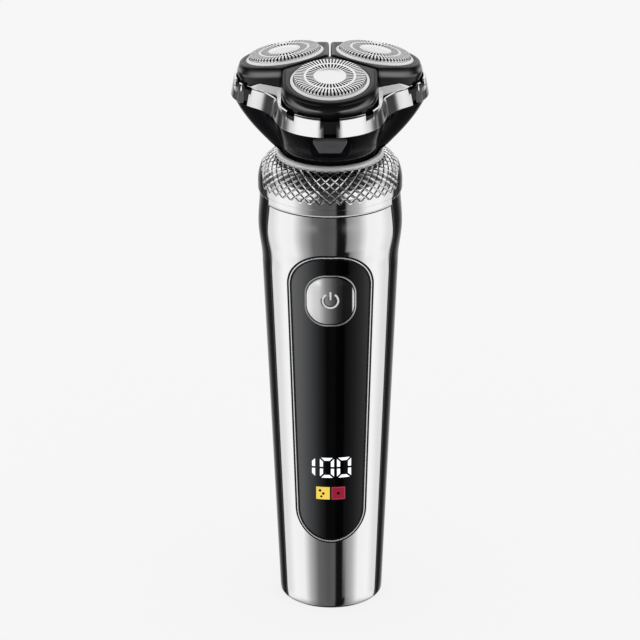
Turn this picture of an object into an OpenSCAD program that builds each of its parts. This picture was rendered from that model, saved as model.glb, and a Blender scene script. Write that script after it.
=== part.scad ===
// Rotary electric shaver: tapered two-shell handle, knurled collar and a flip-open head that
// carries three floating cutters on a shared gear train.
// Origin at the centre of the foot, +Z up the handle, the display faces -Y. Millimetres.

/* [Handle] */
// Height of the two handle shells, from the foot to the seam under the collar
shell_h = 132.2; // [126:0.2:142]
// Outer radius at the foot
foot_r = 15.5; // [15.3:0.1:16.2]
// Radius of the rounded foot edge
foot_round = 1.4; // [0.6:0.1:1.5]
// Outer radius where the straight taper ends
waist_r = 20.3; // [19.8:0.1:20.8]
// Largest radius of the shoulder bulge
bulge_r = 21.45; // [21:0.05:22]
// Outer radius at the seam under the collar
seam_r = 20.95; // [20.7:0.05:21.2]
// Length of the bulge above the straight taper
bulge_len = 22.2; // [18:0.2:26]
// Wall of the shells
shell_wall = 1.6; // [1.2:0.1:1.8]
// Distance of the shells' parting plane in front of the axis, at the foot
split_foot = 7.8; // [6:0.1:8.5]
// Distance of the parting plane in front of the axis, at the seam
split_seam = 10.7; // [9.5:0.1:11.5]
// Height of the rear shell's wings up the shoulder
wing_h = 7.8; // [6:0.1:9]
// Half spread of the wings in front of the axis, where they start
wing_spread = 8.4; // [6:0.1:9.5]

/* [Collar] */
// Height of the collar
collar_h = 11.45; // [10.8:0.05:12.5]
// Radius of the collar's smooth lower rim
rim_r = 21.3; // [21:0.05:21.6]
// Height of the smooth rim above the seam
rim_h = 3.1; // [2:0.1:4]
// Radius at which the shoulder ends in the flat neck ring
neck_out_r = 15.8; // [15.6:0.1:16.2]
// Outer radius of the neck ring insert
neck_ring_r = 15; // [14.6:0.1:15.2]
// Thickness of the neck ring insert
neck_ring_t = 1.3; // [1:0.1:1.5]

/* [Display and power button] */
// Height of the panel's lower end above the foot
panel_z0 = 24; // [20:0.5:27]
// Distance of the panel's upper end below the seam
panel_drop = 14.2; // [12:0.2:15]
// Half width of the panel at its lower end
panel_low = 9.8; // [9.4:0.1:10.4]
// Half width of the panel at its upper end
panel_high = 11.95; // [11.4:0.05:12.4]
// Thickness of the panel
panel_t = 0.9; // [0.7:0.1:1]
// Width of the bright line round the panel
trim_w = 0.5; // [0.3:0.1:0.8]
// Distance of the power button's centre below the seam
button_drop = 28; // [26:0.2:30]
// Width of the power button
button_w = 13.7; // [12.5:0.1:14.2]
// Height of the power button
button_h = 14; // [12.8:0.1:14.4]
// Corner radius of the power button
button_round = 5.5; // [4:0.1:6]
// Travel of the power button
button_travel = 0.5; // [0.3:0.1:0.6]
// Outer width of the button's bezel
bezel_w = 15.3; // [15.2:0.1:16]
// Outer height of the button's bezel
bezel_h = 16.5; // [15.6:0.1:17]

/* [Drive] */
// Radius of the motor can
motor_r = 10; // [9:0.5:10]
// Length of the motor can
motor_len = 27; // [24:0.5:28]
// Radius of the motor shaft
shaft_r = 1; // [0.8:0.1:1.2]
// Radius of the battery cell
cell_r = 7.1; // [6:0.1:7.3]
// Length of the battery cell
cell_len = 50; // [46:0.5:51]
// Gear module
gear_m = 0.6;
// Teeth of the centre gear
centre_teeth = 19;
// Teeth of each drive gear
drive_teeth = 30;
// Thickness of the gears
gear_t = 2; // [1.6:0.1:2.2]
// Radius of the drive spindles
spindle_r = 1.5; // [1.3:0.1:1.6]

/* [Head] */
// Outer radius of the head's neck spigot
spigot_r = 12.6; // [12.2:0.1:12.8]
// Height of the lower head housing above the neck ring
hood_h = 15.7; // [15.5:0.1:16.5]
// Distance from the axis to the centre of each lobe and cutter
lobe_c = 15.6; // [15.5:0.1:15.8]
// Radius of each lobe of the bright band
band_r = 15.4; // [15.3:0.1:15.8]
// Radius of the band at its three waists
waist_band_r = 20.7; // [20.4:0.1:21.2]
// Height of the bright band
band_h = 5.6; // [5.4:0.1:6]
// Wall of the bright band
band_t = 0.5; // [0.4:0.05:0.6]
// Width of the gap in the band above the release button
band_gap = 3.7; // [3:0.1:4.5]
// Outward tilt of each cutter
cutter_tilt = 10; // [9:0.5:11]
// Height of the cutters' rim planes above the band
cap_rise = 7.9; // [7.6:0.1:8.2]
// Visible radius of each cutter cap
cap_r = 10.5; // [10.2:0.1:10.6]
// Slots in the outer ring of each cap
outer_slots = 90; // [24:1:96]
// Slots in the inner ring of each cap
inner_slots = 60; // [16:1:64]
// Width of a slot
slot_w = 0.26; // [0.16:0.02:0.3]
// Blades in each ring of a cutter
blade_count = 12; // [6:1:15]
// Half width of each pod
pod_r = 13.8; // [13.5:0.1:13.9]
// Gap between neighbouring pods
pod_gap = 1; // [0.9:0.1:1.2]
// Height of the hinge axis above the neck ring
hinge_rise = 15.35; // [15.2:0.05:15.6]
// Distance of the hinge axis behind the handle's axis
hinge_y = 23.4; // [23.3:0.1:24.5]
// Width of the release button at its upper edge
release_top = 10.4; // [9:0.1:11]
// Width of the release button at its lower edge
release_low = 6.5; // [5:0.1:8]
// Travel of the release button
release_travel = 0.6; // [0.4:0.1:0.7]

/* [Hidden] */
$fn = 96;

// directions of the three cutters round the axis: front, right rear, left rear
dir_front = -90;
dir_right = 30;
dir_left = 150;
cutter_dirs = [dir_front, dir_right, dir_left];

// clearances: flush fits within one body, running fits, gaps between moving bodies
seat = 0.05;
run = 0.05;
gap = 0.3;
big = 120;

// stations up the object
taper_h = shell_h - bulge_len;
bulge_z = shell_h - 0.44 * bulge_len;
collar_z = shell_h + 0.1;
rim_z = shell_h + rim_h;
neck_z = shell_h + collar_h;
hood_top = neck_z + hood_h;
band_z = hood_top + 0.25;
band_top = band_z + band_h;
cap_z = band_top + cap_rise;
hinge_z = neck_z + hinge_rise;
panel_z1 = shell_h - panel_drop;
button_z = shell_h - button_drop;
base_t = 3.2;

// inner stations of the handle
mount_t = 2;
mount_z = shell_h - 4.2;
motor_z = mount_z - motor_len;
board_front = -12.8;
board_t = 1.2;
board_w = 14.6;
board_z0 = 26;
board_z1 = mount_z - 6;
rib_t = 2;
cell_z = motor_z - cell_len - 10;
spine_y = 9.6;
spine_t = 1.6;

// head stations
deck_t = 1.2;
deck_z = band_z - 0.7;
gear_z = deck_z - gear_t - 0.3;
chamber_z = gear_z - 0.7;
centre_dist = gear_m * (centre_teeth + drive_teeth) / 2;
boss_h = 1.5;
seal_h = 0.7;
ball_drop = (lobe_c - centre_dist) / sin(cutter_tilt) + 0.3;
carrier_z = deck_z + deck_t + 0.4;
carrier_t = 1.4;
spigot_z = neck_z - 7.6;

// profile of the handle
function ease(a, b, t) = a + (b - a) * (1 - cos(180 * t)) / 2;
function skin_r(z) =
    z < taper_h ? foot_r + (waist_r - foot_r) * z / taper_h :
    z < bulge_z ? ease(waist_r, bulge_r, (z - taper_h) / (bulge_z - taper_h)) :
    ease(bulge_r, seam_r, (z - bulge_z) / (shell_h - bulge_z));
function foot_cut(z) =
    z < foot_round ? foot_round - sqrt(pow(foot_round, 2) - pow(foot_round - z, 2)) : 0;
foot_steps = [0, 0.05, 0.18, 0.45, 1];
bulge_steps = 9;
skin_z = concat([for (s = foot_steps) s * foot_round],
    [for (i = [0:bulge_steps]) taper_h + bulge_len * i / bulge_steps]);

// solid of revolution that follows the handle, moved outward by grow; the cut foot is optional
module skin(grow = 0, rounded = false) {
    rotate_extrude()
        polygon(concat([[0, 0]],
            [for (z = skin_z) [skin_r(z) + grow - (rounded ? foot_cut(z) : 0), z]],
            [[0, shell_h]]));
}

// half space in front of the parting plane, held back by back_off
module front_half(back_off = 0) {
    translate([0, -split_foot, 0])
        rotate([atan((split_seam - split_foot) / shell_h), 0, 0])
            translate([-big / 2, -big - back_off, -20])
                cube([big, big, 2 * big]);
}

// prism behind the curve along which the rear shell rises over the shoulder
module wing_zone(grow = 0) {
    rotate([90, 0, 90])
        linear_extrude(big, center = true)
            polygon(concat(
                [[big, shell_h - 1], [-wing_spread - grow, shell_h - 1]],
                [for (t = [0:10:90])
                    [-(wing_spread + grow) * cos(t), shell_h + (wing_h + grow) * sin(t)]],
                [[big, shell_h + wing_h + grow]]));
}

// shoulder: outer curve, inner curve and the recess that holds the neck ring
shoulder_wall = 1.7;
shoulder_in_r = 13.4;
shoulder_drop = neck_ring_t + 1.1;
module shoulder(low) {
    rotate_extrude()
        polygon(concat(
            [[seam_r - shell_wall, low], [seam_r, low], [seam_r, collar_z], [rim_r, collar_z + 0.8]],
            [for (t = [0:9:90])
                [neck_out_r + (rim_r - neck_out_r) * cos(t), rim_z + (neck_z - rim_z) * sin(t)]],
            [[neck_ring_r, neck_z], [neck_ring_r, neck_z - neck_ring_t]],
            [for (t = [90:-15:0])
                [shoulder_in_r + (rim_r - shoulder_wall - shoulder_in_r) * cos(t),
                 rim_z + (neck_z - shoulder_drop - rim_z) * sin(t)]]));
}

// front outlines, drawn in X and Z and extruded along Y
module along_y(depth) {
    rotate([90, 0, 0])
        linear_extrude(depth)
            children();
}
module rounded_rect(w, h, r) {
    square([w - 2 * r, h], center = true);
    square([w, h - 2 * r], center = true);
    for (sx = [-1, 1], sy = [-1, 1])
        translate([sx * (w / 2 - r), sy * (h / 2 - r)])
            circle(r);
}
panel_round = 10;
module panel_outline(grow = 0) {
    low = panel_low + grow;
    high = panel_high + grow;
    arch = panel_round + grow;
    translate([0, panel_z0 + panel_low])
        circle(low);
    polygon([[-low, panel_z0 + panel_low], [low, panel_z0 + panel_low],
        [high, panel_z1 - panel_round], [-high, panel_z1 - panel_round]]);
    for (s = [-1, 1])
        translate([s * (high - arch), panel_z1 - panel_round])
            circle(arch);
    translate([-(high - arch), panel_z1 - panel_round])
        square([2 * (high - arch), arch]);
}
module bezel_outline(grow = 0) {
    translate([0, button_z])
        rounded_rect(bezel_w + 2 * grow, bezel_h + 2 * grow, button_round + 0.8 + grow);
}
module button_outline(grow = 0) {
    translate([0, button_z])
        rounded_rect(button_w + 2 * grow, button_h + 2 * grow, button_round + grow);
}

// a layer that follows the handle's skin between two offsets, under a front outline
module skin_layer(outer, inner) {
    difference() {
        intersection() {
            skin(outer);
            along_y(60)
                children();
        }
        skin(inner);
    }
}

panel_seat = panel_t + seat;
module front_shell() {
    color("silver")
        difference() {
            intersection() {
                skin(0, true);
                front_half(seat);
            }
            translate([0, 0, -1])
                cylinder(r = foot_r - shell_wall, h = 2 * base_t);
            skin(-shell_wall);
            difference() {
                along_y(60)
                    panel_outline(trim_w + 2 * seat);
                skin(-panel_seat);
            }
            along_y(60)
                panel_outline(-1.3);
        }
}

module rear_shell() {
    color("#15161a")
        difference() {
            union() {
                difference() {
                    skin(0, true);
                    front_half();
                }
                intersection() {
                    shoulder(shell_h - 0.5);
                    wing_zone();
                }
            }
            translate([0, 0, -1])
                cylinder(r = foot_r - shell_wall, h = 2 * base_t);
            skin(-shell_wall);
        }
}

port_w = 8.9;
port_d = 3.1;
port_y = 6.5;
module port_slot(grow) {
    for (s = [-1, 1])
        translate([s * (port_w - port_d) / 2, port_y])
            circle(port_d / 2 + grow);
    translate([0, port_y])
        square([port_w - port_d, port_d + 2 * grow], center = true);
}

module base_cap() {
    color("#1b1c20")
        difference() {
            cylinder(r = foot_r - shell_wall - seat, h = base_t);
            translate([0, 0, -1])
                linear_extrude(base_t + 2)
                    port_slot(seat);
        }
}

module charging_port() {
    color("#b9bcc2")
        translate([0, 0, 0.4])
            difference() {
                linear_extrude(7)
                    port_slot(0);
                translate([0, 0, -1])
                    linear_extrude(7)
                        port_slot(-0.3);
            }
    color("#222222")
        translate([-(port_w - port_d) / 2, port_y - 0.35, 1.4])
            cube([port_w - port_d, 0.7, 5.2]);
}

module knurled_collar() {
    color("silver")
        difference() {
            shoulder(collar_z);
            wing_zone(seat);
        }
}

module neck_ring() {
    color("gainsboro")
        translate([0, 0, neck_z - neck_ring_t + seat])
            difference() {
                cylinder(r = neck_ring_r - seat, h = neck_ring_t - seat);
                translate([0, 0, -1])
                    cylinder(r = spigot_r + gap, h = neck_ring_t + 2);
            }
}

// cup in the handle that takes the head's spigot
socket_z = mount_z + mount_t;
socket_wall = 1.2;
coupling_r = 2.4;
module neck_socket() {
    color("#2a2b2f")
        difference() {
            translate([0, 0, socket_z])
                cylinder(r = spigot_r + gap + socket_wall, h = neck_z - shoulder_drop - socket_z - 2.2);
            translate([0, 0, socket_z + mount_t])
                cylinder(r = spigot_r + gap, h = 30);
            translate([0, 0, socket_z - 1])
                cylinder(r = coupling_r + gap, h = 10);
            for (s = [-1, 1])
                translate([s * motor_screw_x, 0, socket_z - 1])
                    cylinder(r = 1.9, h = 10);
        }
}

module neck_seal() {
    color("#111111")
        translate([0, 0, socket_z + mount_t])
            difference() {
                cylinder(r = coupling_r + 2, h = 1);
                translate([0, 0, -1])
                    cylinder(r = coupling_r + gap, h = 3);
            }
}

module display_panel() {
    color("#08090b")
        difference() {
            skin_layer(-seat, -panel_t)
                panel_outline();
            along_y(60)
                bezel_outline(seat);
        }
}

module panel_trim() {
    color("white")
        difference() {
            skin_layer(0.05, -panel_t)
                panel_outline(trim_w + seat);
            along_y(60)
                panel_outline(seat);
        }
}

bezel_line = 0.6;
module button_bezel() {
    color("white")
        difference() {
            skin_layer(0.15, -2.4)
                bezel_outline();
            along_y(60)
                bezel_outline(-bezel_line);
        }
}

// the button's front follows the handle; a stem reaches the switch behind it
button_t = 2;
stem_r = 1.5;
switch_w = 6;
switch_h = 3.4;
switch_cap = 0.8;
module power_button() {
    color("#c9ccd2")
        union() {
            skin_layer(0.1, -button_t)
                button_outline();
            translate([0, board_front - switch_h - switch_cap - button_travel - gap, button_z])
                rotate([90, 0, 0])
                    cylinder(r = stem_r, h = skin_r(button_z) - button_t / 2 + board_front
                        - switch_h - switch_cap - button_travel - gap);
        }
}

module display_module() {
    color("#202428")
        translate([-6.5, board_front - 1.7, panel_z0 + 12])
            cube([13, 1.7 - seat, 19]);
}

module main_board() {
    color("#1f5c3a")
        difference() {
            translate([-board_w / 2, board_front, board_z0])
                cube([board_w, board_t, board_z1 - board_z0]);
            for (z = screw_rows)
                translate([0, board_front - 1, z])
                    rotate([-90, 0, 0])
                        cylinder(r = 1.1, h = 5);
        }
}

module power_switch() {
    color("#3a3d42")
        union() {
            translate([-switch_w / 2, board_front - switch_h, button_z - switch_w / 2])
                cube([switch_w, switch_h - seat, switch_w]);
            translate([0, board_front - switch_h + 0.5, button_z])
                rotate([90, 0, 0])
                    cylinder(r = 1.7, h = switch_cap + 0.5);
        }
}

// chassis: a spine behind the cell and the motor, joined by ribs that the board is screwed to
rib_z = [board_z0 + 3, cell_z - rib_t - seat, cell_z + cell_len + seat, mount_z - 2 * rib_t - 6];
screw_rows = [rib_z[0] + rib_t / 2, rib_z[2] + rib_t / 2];
rib_front = board_front + board_t + seat;
rib_w = 2 * motor_r + 5;
module chassis() {
    color("#3b3e44")
        difference() {
            union() {
                translate([-8.5, spine_y, base_t + 8])
                    cube([17, spine_t, mount_z - base_t - 8 - seat]);
                for (z = rib_z)
                    translate([0, 0, z])
                        intersection() {
                            cylinder(r = skin_r(z) - shell_wall - gap, h = rib_t);
                            translate([-rib_w / 2, rib_front, 0])
                                cube([rib_w, spine_y + spine_t - rib_front, rib_t]);
                        }
            }
            translate([0, 0, motor_z - seat])
                cylinder(r = motor_r + seat, h = motor_len + 1);
            for (z = screw_rows)
                translate([0, rib_front - 1, z])
                    rotate([-90, 0, 0])
                        cylinder(r = 0.8, h = 5);
        }
}

module board_screws() {
    color("silver")
        for (z = screw_rows)
            translate([0, board_front - seat, z])
                rotate([-90, 0, 0])
                    union() {
                        translate([0, 0, -0.9])
                            cylinder(r = 1.6, h = 0.9);
                        translate([0, 0, -0.2])
                            cylinder(r = 0.75, h = 4.2);
                    }
}

bearing_depth = 8;
module motor_can() {
    color("#9a9da3")
        translate([0, 0, motor_z])
            difference() {
                cylinder(r = motor_r, h = motor_len - seat);
                translate([0, 0, motor_len - bearing_depth])
                    cylinder(r = shaft_r + run, h = bearing_depth + 1);
                for (s = [-1, 1])
                    translate([s * motor_screw_x, 0, motor_len - 3])
                        cylinder(r = 0.8, h = 4);
            }
}

motor_screw_x = 6;
module motor_mount() {
    color("#3b3e44")
        translate([0, 0, mount_z])
            difference() {
                cylinder(r = skin_r(mount_z) - shell_wall - gap, h = mount_t - seat);
                translate([0, 0, -1])
                    cylinder(r = coupling_r + gap, h = mount_t + 2);
                for (s = [-1, 1])
                    translate([s * motor_screw_x, 0, -1])
                        cylinder(r = 1.05, h = mount_t + 2);
            }
}

module motor_screws() {
    color("silver")
        for (s = [-1, 1])
            translate([s * motor_screw_x, 0, mount_z + mount_t])
                union() {
                    cylinder(r = 1.7, h = 1);
                    translate([0, 0, -mount_t - 2])
                        cylinder(r = 0.75, h = mount_t + 2.5);
                }
}

module battery_cell() {
    color("#2c6fb0")
        translate([0, 0, cell_z])
            cylinder(r = cell_r, h = cell_len - 1);
    color("#d8d8d8")
        translate([0, 0, cell_z + cell_len - 1])
            cylinder(r = cell_r / 3, h = 1);
}

module battery_tabs() {
    color("#d5c48a")
        for (z = [cell_z - rib_t - 0.4 - 2 * seat, cell_z + cell_len + rib_t + 2 * seat])
            translate([-2, rib_front, z])
                cube([4, 12, 0.4]);
}

module motor_shaft() {
    color("#c0c3c8")
        translate([0, 0, mount_z - bearing_depth + gap])
            cylinder(r = shaft_r, h = bearing_depth + mount_t + 5);
}

// six-sided driver that slides out of the head's drive socket when the head is pulled off
driver_r = 2;
driver_top = spigot_z + 5.4;
module drive_coupling() {
    color("#e0e0dc")
        difference() {
            union() {
                translate([0, 0, mount_z + gap])
                    cylinder(r = coupling_r, h = spigot_z - 0.8 - mount_z - gap);
                translate([0, 0, spigot_z - 1])
                    cylinder(r = driver_r, h = driver_top - spigot_z + 1, $fn = 6);
            }
            translate([0, 0, mount_z - 1])
                cylinder(r = shaft_r + 0.01, h = mount_t + 6.5);
        }
}

// plan of the head: three lobes round the axis and a centre disc that fills the waists
module lobes(r, centre) {
    for (a = cutter_dirs)
        rotate(a)
            translate([lobe_c, 0])
                circle(r);
    circle(centre);
}

// the same plan as one smooth outline: the lobe and waist radii are blended by a power mean
blend_power = 14;
outline_n = 120;
function lobe_turn(a) = let (t = (a - dir_right + 360) % 120) t > 60 ? t - 120 : t;
function lobe_reach(c, r, a) =
    let (t = lobe_turn(a))
    c * cos(t) + sqrt(r * r - pow(c * sin(t), 2));
function outline_r(c, r, waist, a) =
    pow(pow(lobe_reach(c, r, a), blend_power) + pow(waist, blend_power), 1 / blend_power);
module soft_lobes(r, waist) {
    polygon([for (i = [0:outline_n - 1])
        let (a = 360 * i / outline_n)
        outline_r(lobe_c, r, waist, a) * [cos(a), sin(a)]]);
}

// lower head housing: the plan grows from the round neck to the lobed rim
hood_r = band_r - 0.3;
hood_waist_r = waist_band_r - 0.4;
hood_n = 72;
// share of the height, share of the lobe offset, lobe radius, waist radius
hood_levels = [
    [0, 0, spigot_r, 10],
    [0.255, 0.385, spigot_r + 0.7, 14.6],
    [0.46, 0.655, spigot_r + 0.9, 16.6],
    [0.7, 0.872, spigot_r + 1.4, 18.6],
    [1, 1, hood_r, hood_waist_r]];
module hood_solid() {
    top = len(hood_levels) - 1;
    points = [for (level = hood_levels, i = [0:hood_n - 1])
        let (a = 360 * i / hood_n)
        let (r = outline_r(level[1] * lobe_c, level[2], level[3], a))
        [r * cos(a), r * sin(a), neck_z + level[0] * hood_h]];
    sides = [for (k = [0:top - 1], i = [0:hood_n - 1], half = [0, 1])
        let (j = (i + 1) % hood_n, low = k * hood_n, high = low + hood_n)
        half == 0 ? [low + i, high + i, high + j] : [low + i, high + j, low + j]];
    polyhedron(points, concat(sides,
        [[for (i = [0:hood_n - 1]) i]],
        [[for (i = [hood_n - 1:-1:0]) top * hood_n + i]]));
}

chamber_gap = 0.4;
module gear_chamber() {
    for (a = cutter_dirs)
        rotate([0, 0, a])
            translate([centre_dist, 0, chamber_z])
                cylinder(r = gear_out(drive_teeth) + chamber_gap, h = hood_h);
    translate([0, 0, chamber_z])
        cylinder(r = gear_out(centre_teeth) + chamber_gap + 2, h = hood_h);
}

// frame on the sloping face of the front lobe, +Z out of the face, +Y up the slope
release_slope = 39.6;
release_z = hood_top - 3.85;
release_y = -27.45;
release_len = 6.75;
release_t = 1.4;
release_depth = release_t - 0.3 + release_travel + gap;
module on_release_face() {
    translate([0, release_y, release_z])
        rotate([90 + release_slope, 0, 0])
            children();
}
module release_outline(grow, tail = 0) {
    half_len = release_len / 2;
    polygon([[-release_low / 2 - grow, -half_len - grow - tail],
        [release_low / 2 + grow, -half_len - grow - tail],
        [release_top / 2 + grow, half_len + grow], [-release_top / 2 - grow, half_len + grow]]);
}

journal_r = 1.2;
journal_l = 2;
latch_y = -26.6;
latch_w = 4;
latch_t = 1;
knuckle_r = 1.5;
knuckle_w = 6.6;
knuckle_ear = 3;
pin_r = 0.8;
module knuckle(x0, w) {
    translate([x0, hinge_y, hinge_z])
        rotate([0, 90, 0])
            cylinder(r = knuckle_r, h = w);
}
module hinge_bore(r) {
    translate([-10, hinge_y, hinge_z])
        rotate([0, 90, 0])
            cylinder(r = r, h = 20);
}
module head_housing() {
    color("#131417")
        difference() {
            union() {
                hood_solid();
                translate([0, 0, spigot_z])
                    cylinder(r = spigot_r, h = neck_z - spigot_z + 0.6);
                for (x0 = [-knuckle_w / 2 - gap - knuckle_ear, knuckle_w / 2 + gap]) {
                    knuckle(x0, knuckle_ear);
                    translate([x0, 15, hinge_z - knuckle_r])
                        cube([knuckle_ear, hinge_y - 15, knuckle_r - 0.1]);
                }
            }
            gear_chamber();
            translate([0, 0, deck_z])
                linear_extrude(10)
                    lobes(deck_lobe_r + seat, deck_centre_r + seat);
            translate([0, 0, spigot_z - 1])
                cylinder(r = spigot_r - 1.4, h = 8.6 + 4);
            translate([0, 0, spigot_z])
                cylinder(r = pinion_r + run, h = hood_h + 8);
            for (a = cutter_dirs)
                rotate([0, 0, a])
                    translate([centre_dist, 0, chamber_z - journal_l - gap])
                        cylinder(r = journal_r + run, h = 10);
            hinge_bore(pin_r + 0.01);
            on_release_face() {
                translate([0, 0, -release_depth])
                    linear_extrude(10)
                        release_outline(gap);
                translate([0, 0, -0.7])
                    linear_extrude(10)
                        release_outline(2.2, 0.9);
            }
            translate([-latch_w / 2 - 0.4, latch_y - latch_t / 2 - 0.4, deck_z - 1.1])
                cube([latch_w + 0.8, latch_t + 0.8, 10]);
            for (a = cutter_dirs)
                rotate([0, 0, a + 60])
                    translate([deck_screw_r, 0, deck_z - 4])
                        cylinder(r = 0.8, h = 6);
        }
}

// floor of the hair chamber, with a boss for each spindle
deck_lobe_r = hood_r - 1.6;
deck_centre_r = hood_waist_r - 1.8;
deck_screw_r = 15.6;
module gear_deck() {
    color("#24262a")
        translate([0, 0, deck_z + seat])
            difference() {
                union() {
                    linear_extrude(deck_t - seat)
                        lobes(deck_lobe_r, deck_centre_r);
                    for (a = cutter_dirs)
                        rotate([0, 0, a])
                            translate([centre_dist, 0, 0])
                                cylinder(r = spindle_r + 1.7, h = deck_t + boss_h);
                }
                for (a = cutter_dirs)
                    rotate([0, 0, a])
                        translate([centre_dist, 0, -1])
                            cylinder(r = spindle_r + run, h = 10);
                translate([0, 0, -1])
                    cylinder(r = journal_r + run, h = 1.8);
                translate([-latch_w / 2 - 0.4, -big, -1])
                    cube([latch_w + 0.8, big + latch_y + latch_t / 2 + 0.4, 5]);
                for (a = cutter_dirs)
                    rotate([0, 0, a + 60])
                        translate([deck_screw_r, 0, -1])
                            cylinder(r = 0.95, h = 6);
                translate([0, 0, -deck_z - seat])
                    on_release_face()
                        translate([0, 0, -release_depth])
                            linear_extrude(10)
                                release_outline(gap);
            }
}

module spindle_seals() {
    color("#0d0d0e")
        for (a = cutter_dirs)
            rotate([0, 0, a])
                translate([centre_dist, 0, deck_z + deck_t + boss_h + 2 * seat])
                    difference() {
                        cylinder(r = spindle_r + 1.2, h = seal_h);
                        translate([0, 0, -1])
                            cylinder(r = spindle_r + run, h = seal_h + 2);
                    }
}

module deck_screws() {
    color("silver")
        for (a = cutter_dirs)
            rotate([0, 0, a + 60])
                translate([deck_screw_r, 0, deck_z + deck_t])
                    union() {
                        translate([0, 0, -0.5])
                            cylinder(r = 0.9, h = 0.7);
                        translate([0, 0, -4])
                            cylinder(r = 0.75, h = 4);
                    }
}

module hinge_pin() {
    color("silver")
        translate([-knuckle_w / 2 - gap - knuckle_ear, hinge_y, hinge_z])
            rotate([0, 90, 0])
                cylinder(r = pin_r, h = knuckle_w + 2 * gap + 2 * knuckle_ear);
}

module release_button() {
    color("#33363b")
        on_release_face()
            translate([0, 0, 0.3 - release_t])
                union() {
                    linear_extrude(release_t)
                        release_outline(0);
                    for (i = [-1:1])
                        translate([-1.6, i * 1.1 + 1.2, release_t])
                            rotate([0, 90, 0])
                                cylinder(r = 0.22, h = 3.2);
                }
}

// involute gears: the flank's half angle at radius r, in degrees
function gear_pitch(teeth) = gear_m * teeth / 2;
function gear_out(teeth) = gear_pitch(teeth) + gear_m;
function gear_base(teeth) = gear_pitch(teeth) * cos(20);
function involute(teeth, r) =
    let (a = r > gear_base(teeth) ? acos(gear_base(teeth) / r) : 0)
    tan(a) * 180 / PI - a;
backlash = 0.14;
function flank(teeth, r) =
    90 / teeth - backlash / 2 / gear_pitch(teeth) * 180 / PI
    + involute(teeth, gear_pitch(teeth)) - involute(teeth, r);
module gear_profile(teeth) {
    low = gear_pitch(teeth) - 1.2 * gear_m;
    high = gear_out(teeth);
    steps = [low, low + 0.35 * (high - low), low + 0.7 * (high - low), high];
    polygon([for (k = [0:teeth - 1], side = [-1, 1], i = [0:3])
        let (r = side < 0 ? steps[i] : steps[3 - i])
        let (a = k * 360 / teeth + side * flank(teeth, r))
        r * [cos(a), sin(a)]]);
}

pinion_r = 3.4;
module centre_gear() {
    color("#ece6d2")
        difference() {
            union() {
                translate([0, 0, gear_z])
                    linear_extrude(gear_t)
                        gear_profile(centre_teeth);
                translate([0, 0, spigot_z + 0.6])
                    cylinder(r = pinion_r, h = gear_z - spigot_z - 0.6);
                translate([0, 0, gear_z])
                    cylinder(r = journal_r, h = gear_t + 0.9);
            }
            translate([0, 0, spigot_z - 1])
                cylinder(r = driver_r + gap, h = driver_top - spigot_z + 1.6, $fn = 6);
        }
}

module drive_gear(a) {
    color("#ece6d2")
        rotate([0, 0, a])
            translate([centre_dist, 0, 0])
                difference() {
                    union() {
                        translate([0, 0, gear_z])
                            rotate(180 + a * centre_teeth / drive_teeth + 180 / drive_teeth)
                                linear_extrude(gear_t)
                                    gear_profile(drive_teeth);
                        translate([0, 0, chamber_z - journal_l])
                            cylinder(r = journal_r, h = journal_l + 1);
                    }
                    translate([0, 0, gear_z + 0.4])
                        cylinder(r = spindle_r + 0.01, h = 10);
                }
}

// spindle with a flat-sided tip that the cutter's slot drops over
blade_t = 1.5;
tip_r = 1.3;
slot_depth = 2.6;
hub_low = ball_drop + 0.3;
tip_top = cap_z - (ball_drop - 1.1) * cos(cutter_tilt);
tip_low = cap_z - (hub_low + 1.2) * cos(cutter_tilt) - 0.8;
module spindle(a) {
    color("#d9d6c8")
        rotate([0, 0, a])
            translate([centre_dist, 0, 0])
                union() {
                    translate([0, 0, gear_z + 0.4 + seat])
                        cylinder(r = spindle_r, h = tip_low - gear_z - 0.4 - seat);
                    intersection() {
                        translate([0, 0, tip_low - 0.5])
                            cylinder(r1 = spindle_r, r2 = tip_r, h = tip_top - tip_low + 0.5);
                        translate([-5, -blade_t / 2, tip_low - 0.5])
                            cube([10, blade_t, tip_top - tip_low + 0.5]);
                    }
                }
}

// bright band: a lobed wall with a flat ledge at the waists, cut at the front and at both sides
side_gap_dir = 72;
module pod_plan(grow = 0) {
    side = pod_r + grow;
    inset = pod_gap / 2 - grow;
    difference() {
        union() {
            translate([lobe_c, 0])
                circle(side);
            translate([0, -side])
                square([lobe_c, 2 * side]);
        }
        for (s = [-1, 1])
            mirror([0, s < 0 ? 1 : 0])
                rotate(60)
                    translate([-big, -inset])
                        square([2 * big, big]);
    }
}
module band_cut(w, z0, z1) {
    translate([0, 0, z0]) {
        translate([-w / 2, -lobe_c - band_r - 2, 0])
            cube([w, 6, z1 - z0]);
        for (s = [-1, 1])
            rotate([0, 0, 90 - s * 60])
                translate([lobe_c, 0, 0])
                    rotate([0, 0, -s * side_gap_dir])
                        translate([band_r - 4, -w * 0.45, 0])
                            cube([6, w * 0.9, z1 - z0]);
    }
}
ledge_t = 1;
module chrome_band() {
    color("white")
        translate([0, 0, band_z])
            difference() {
                union() {
                    linear_extrude(band_h)
                        difference() {
                            soft_lobes(band_r, waist_band_r);
                            soft_lobes(band_r - band_t, waist_band_r - band_t);
                        }
                    translate([0, 0, band_h - ledge_t])
                        linear_extrude(ledge_t)
                            difference() {
                                soft_lobes(band_r - band_t / 2, waist_band_r - band_t / 2);
                                for (a = cutter_dirs)
                                    rotate(a)
                                        pod_plan(0.7);
                                circle(8);
                            }
                }
                band_cut(band_gap, -1, band_h + 1);
                band_cut(band_gap + 2, band_h * 2 / 3, band_h + 1);
                translate([-knuckle_w / 2 - seat, 0, -1])
                    cube([knuckle_w + 2 * seat, big, 2.5 + seat]);
            }
}

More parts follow.
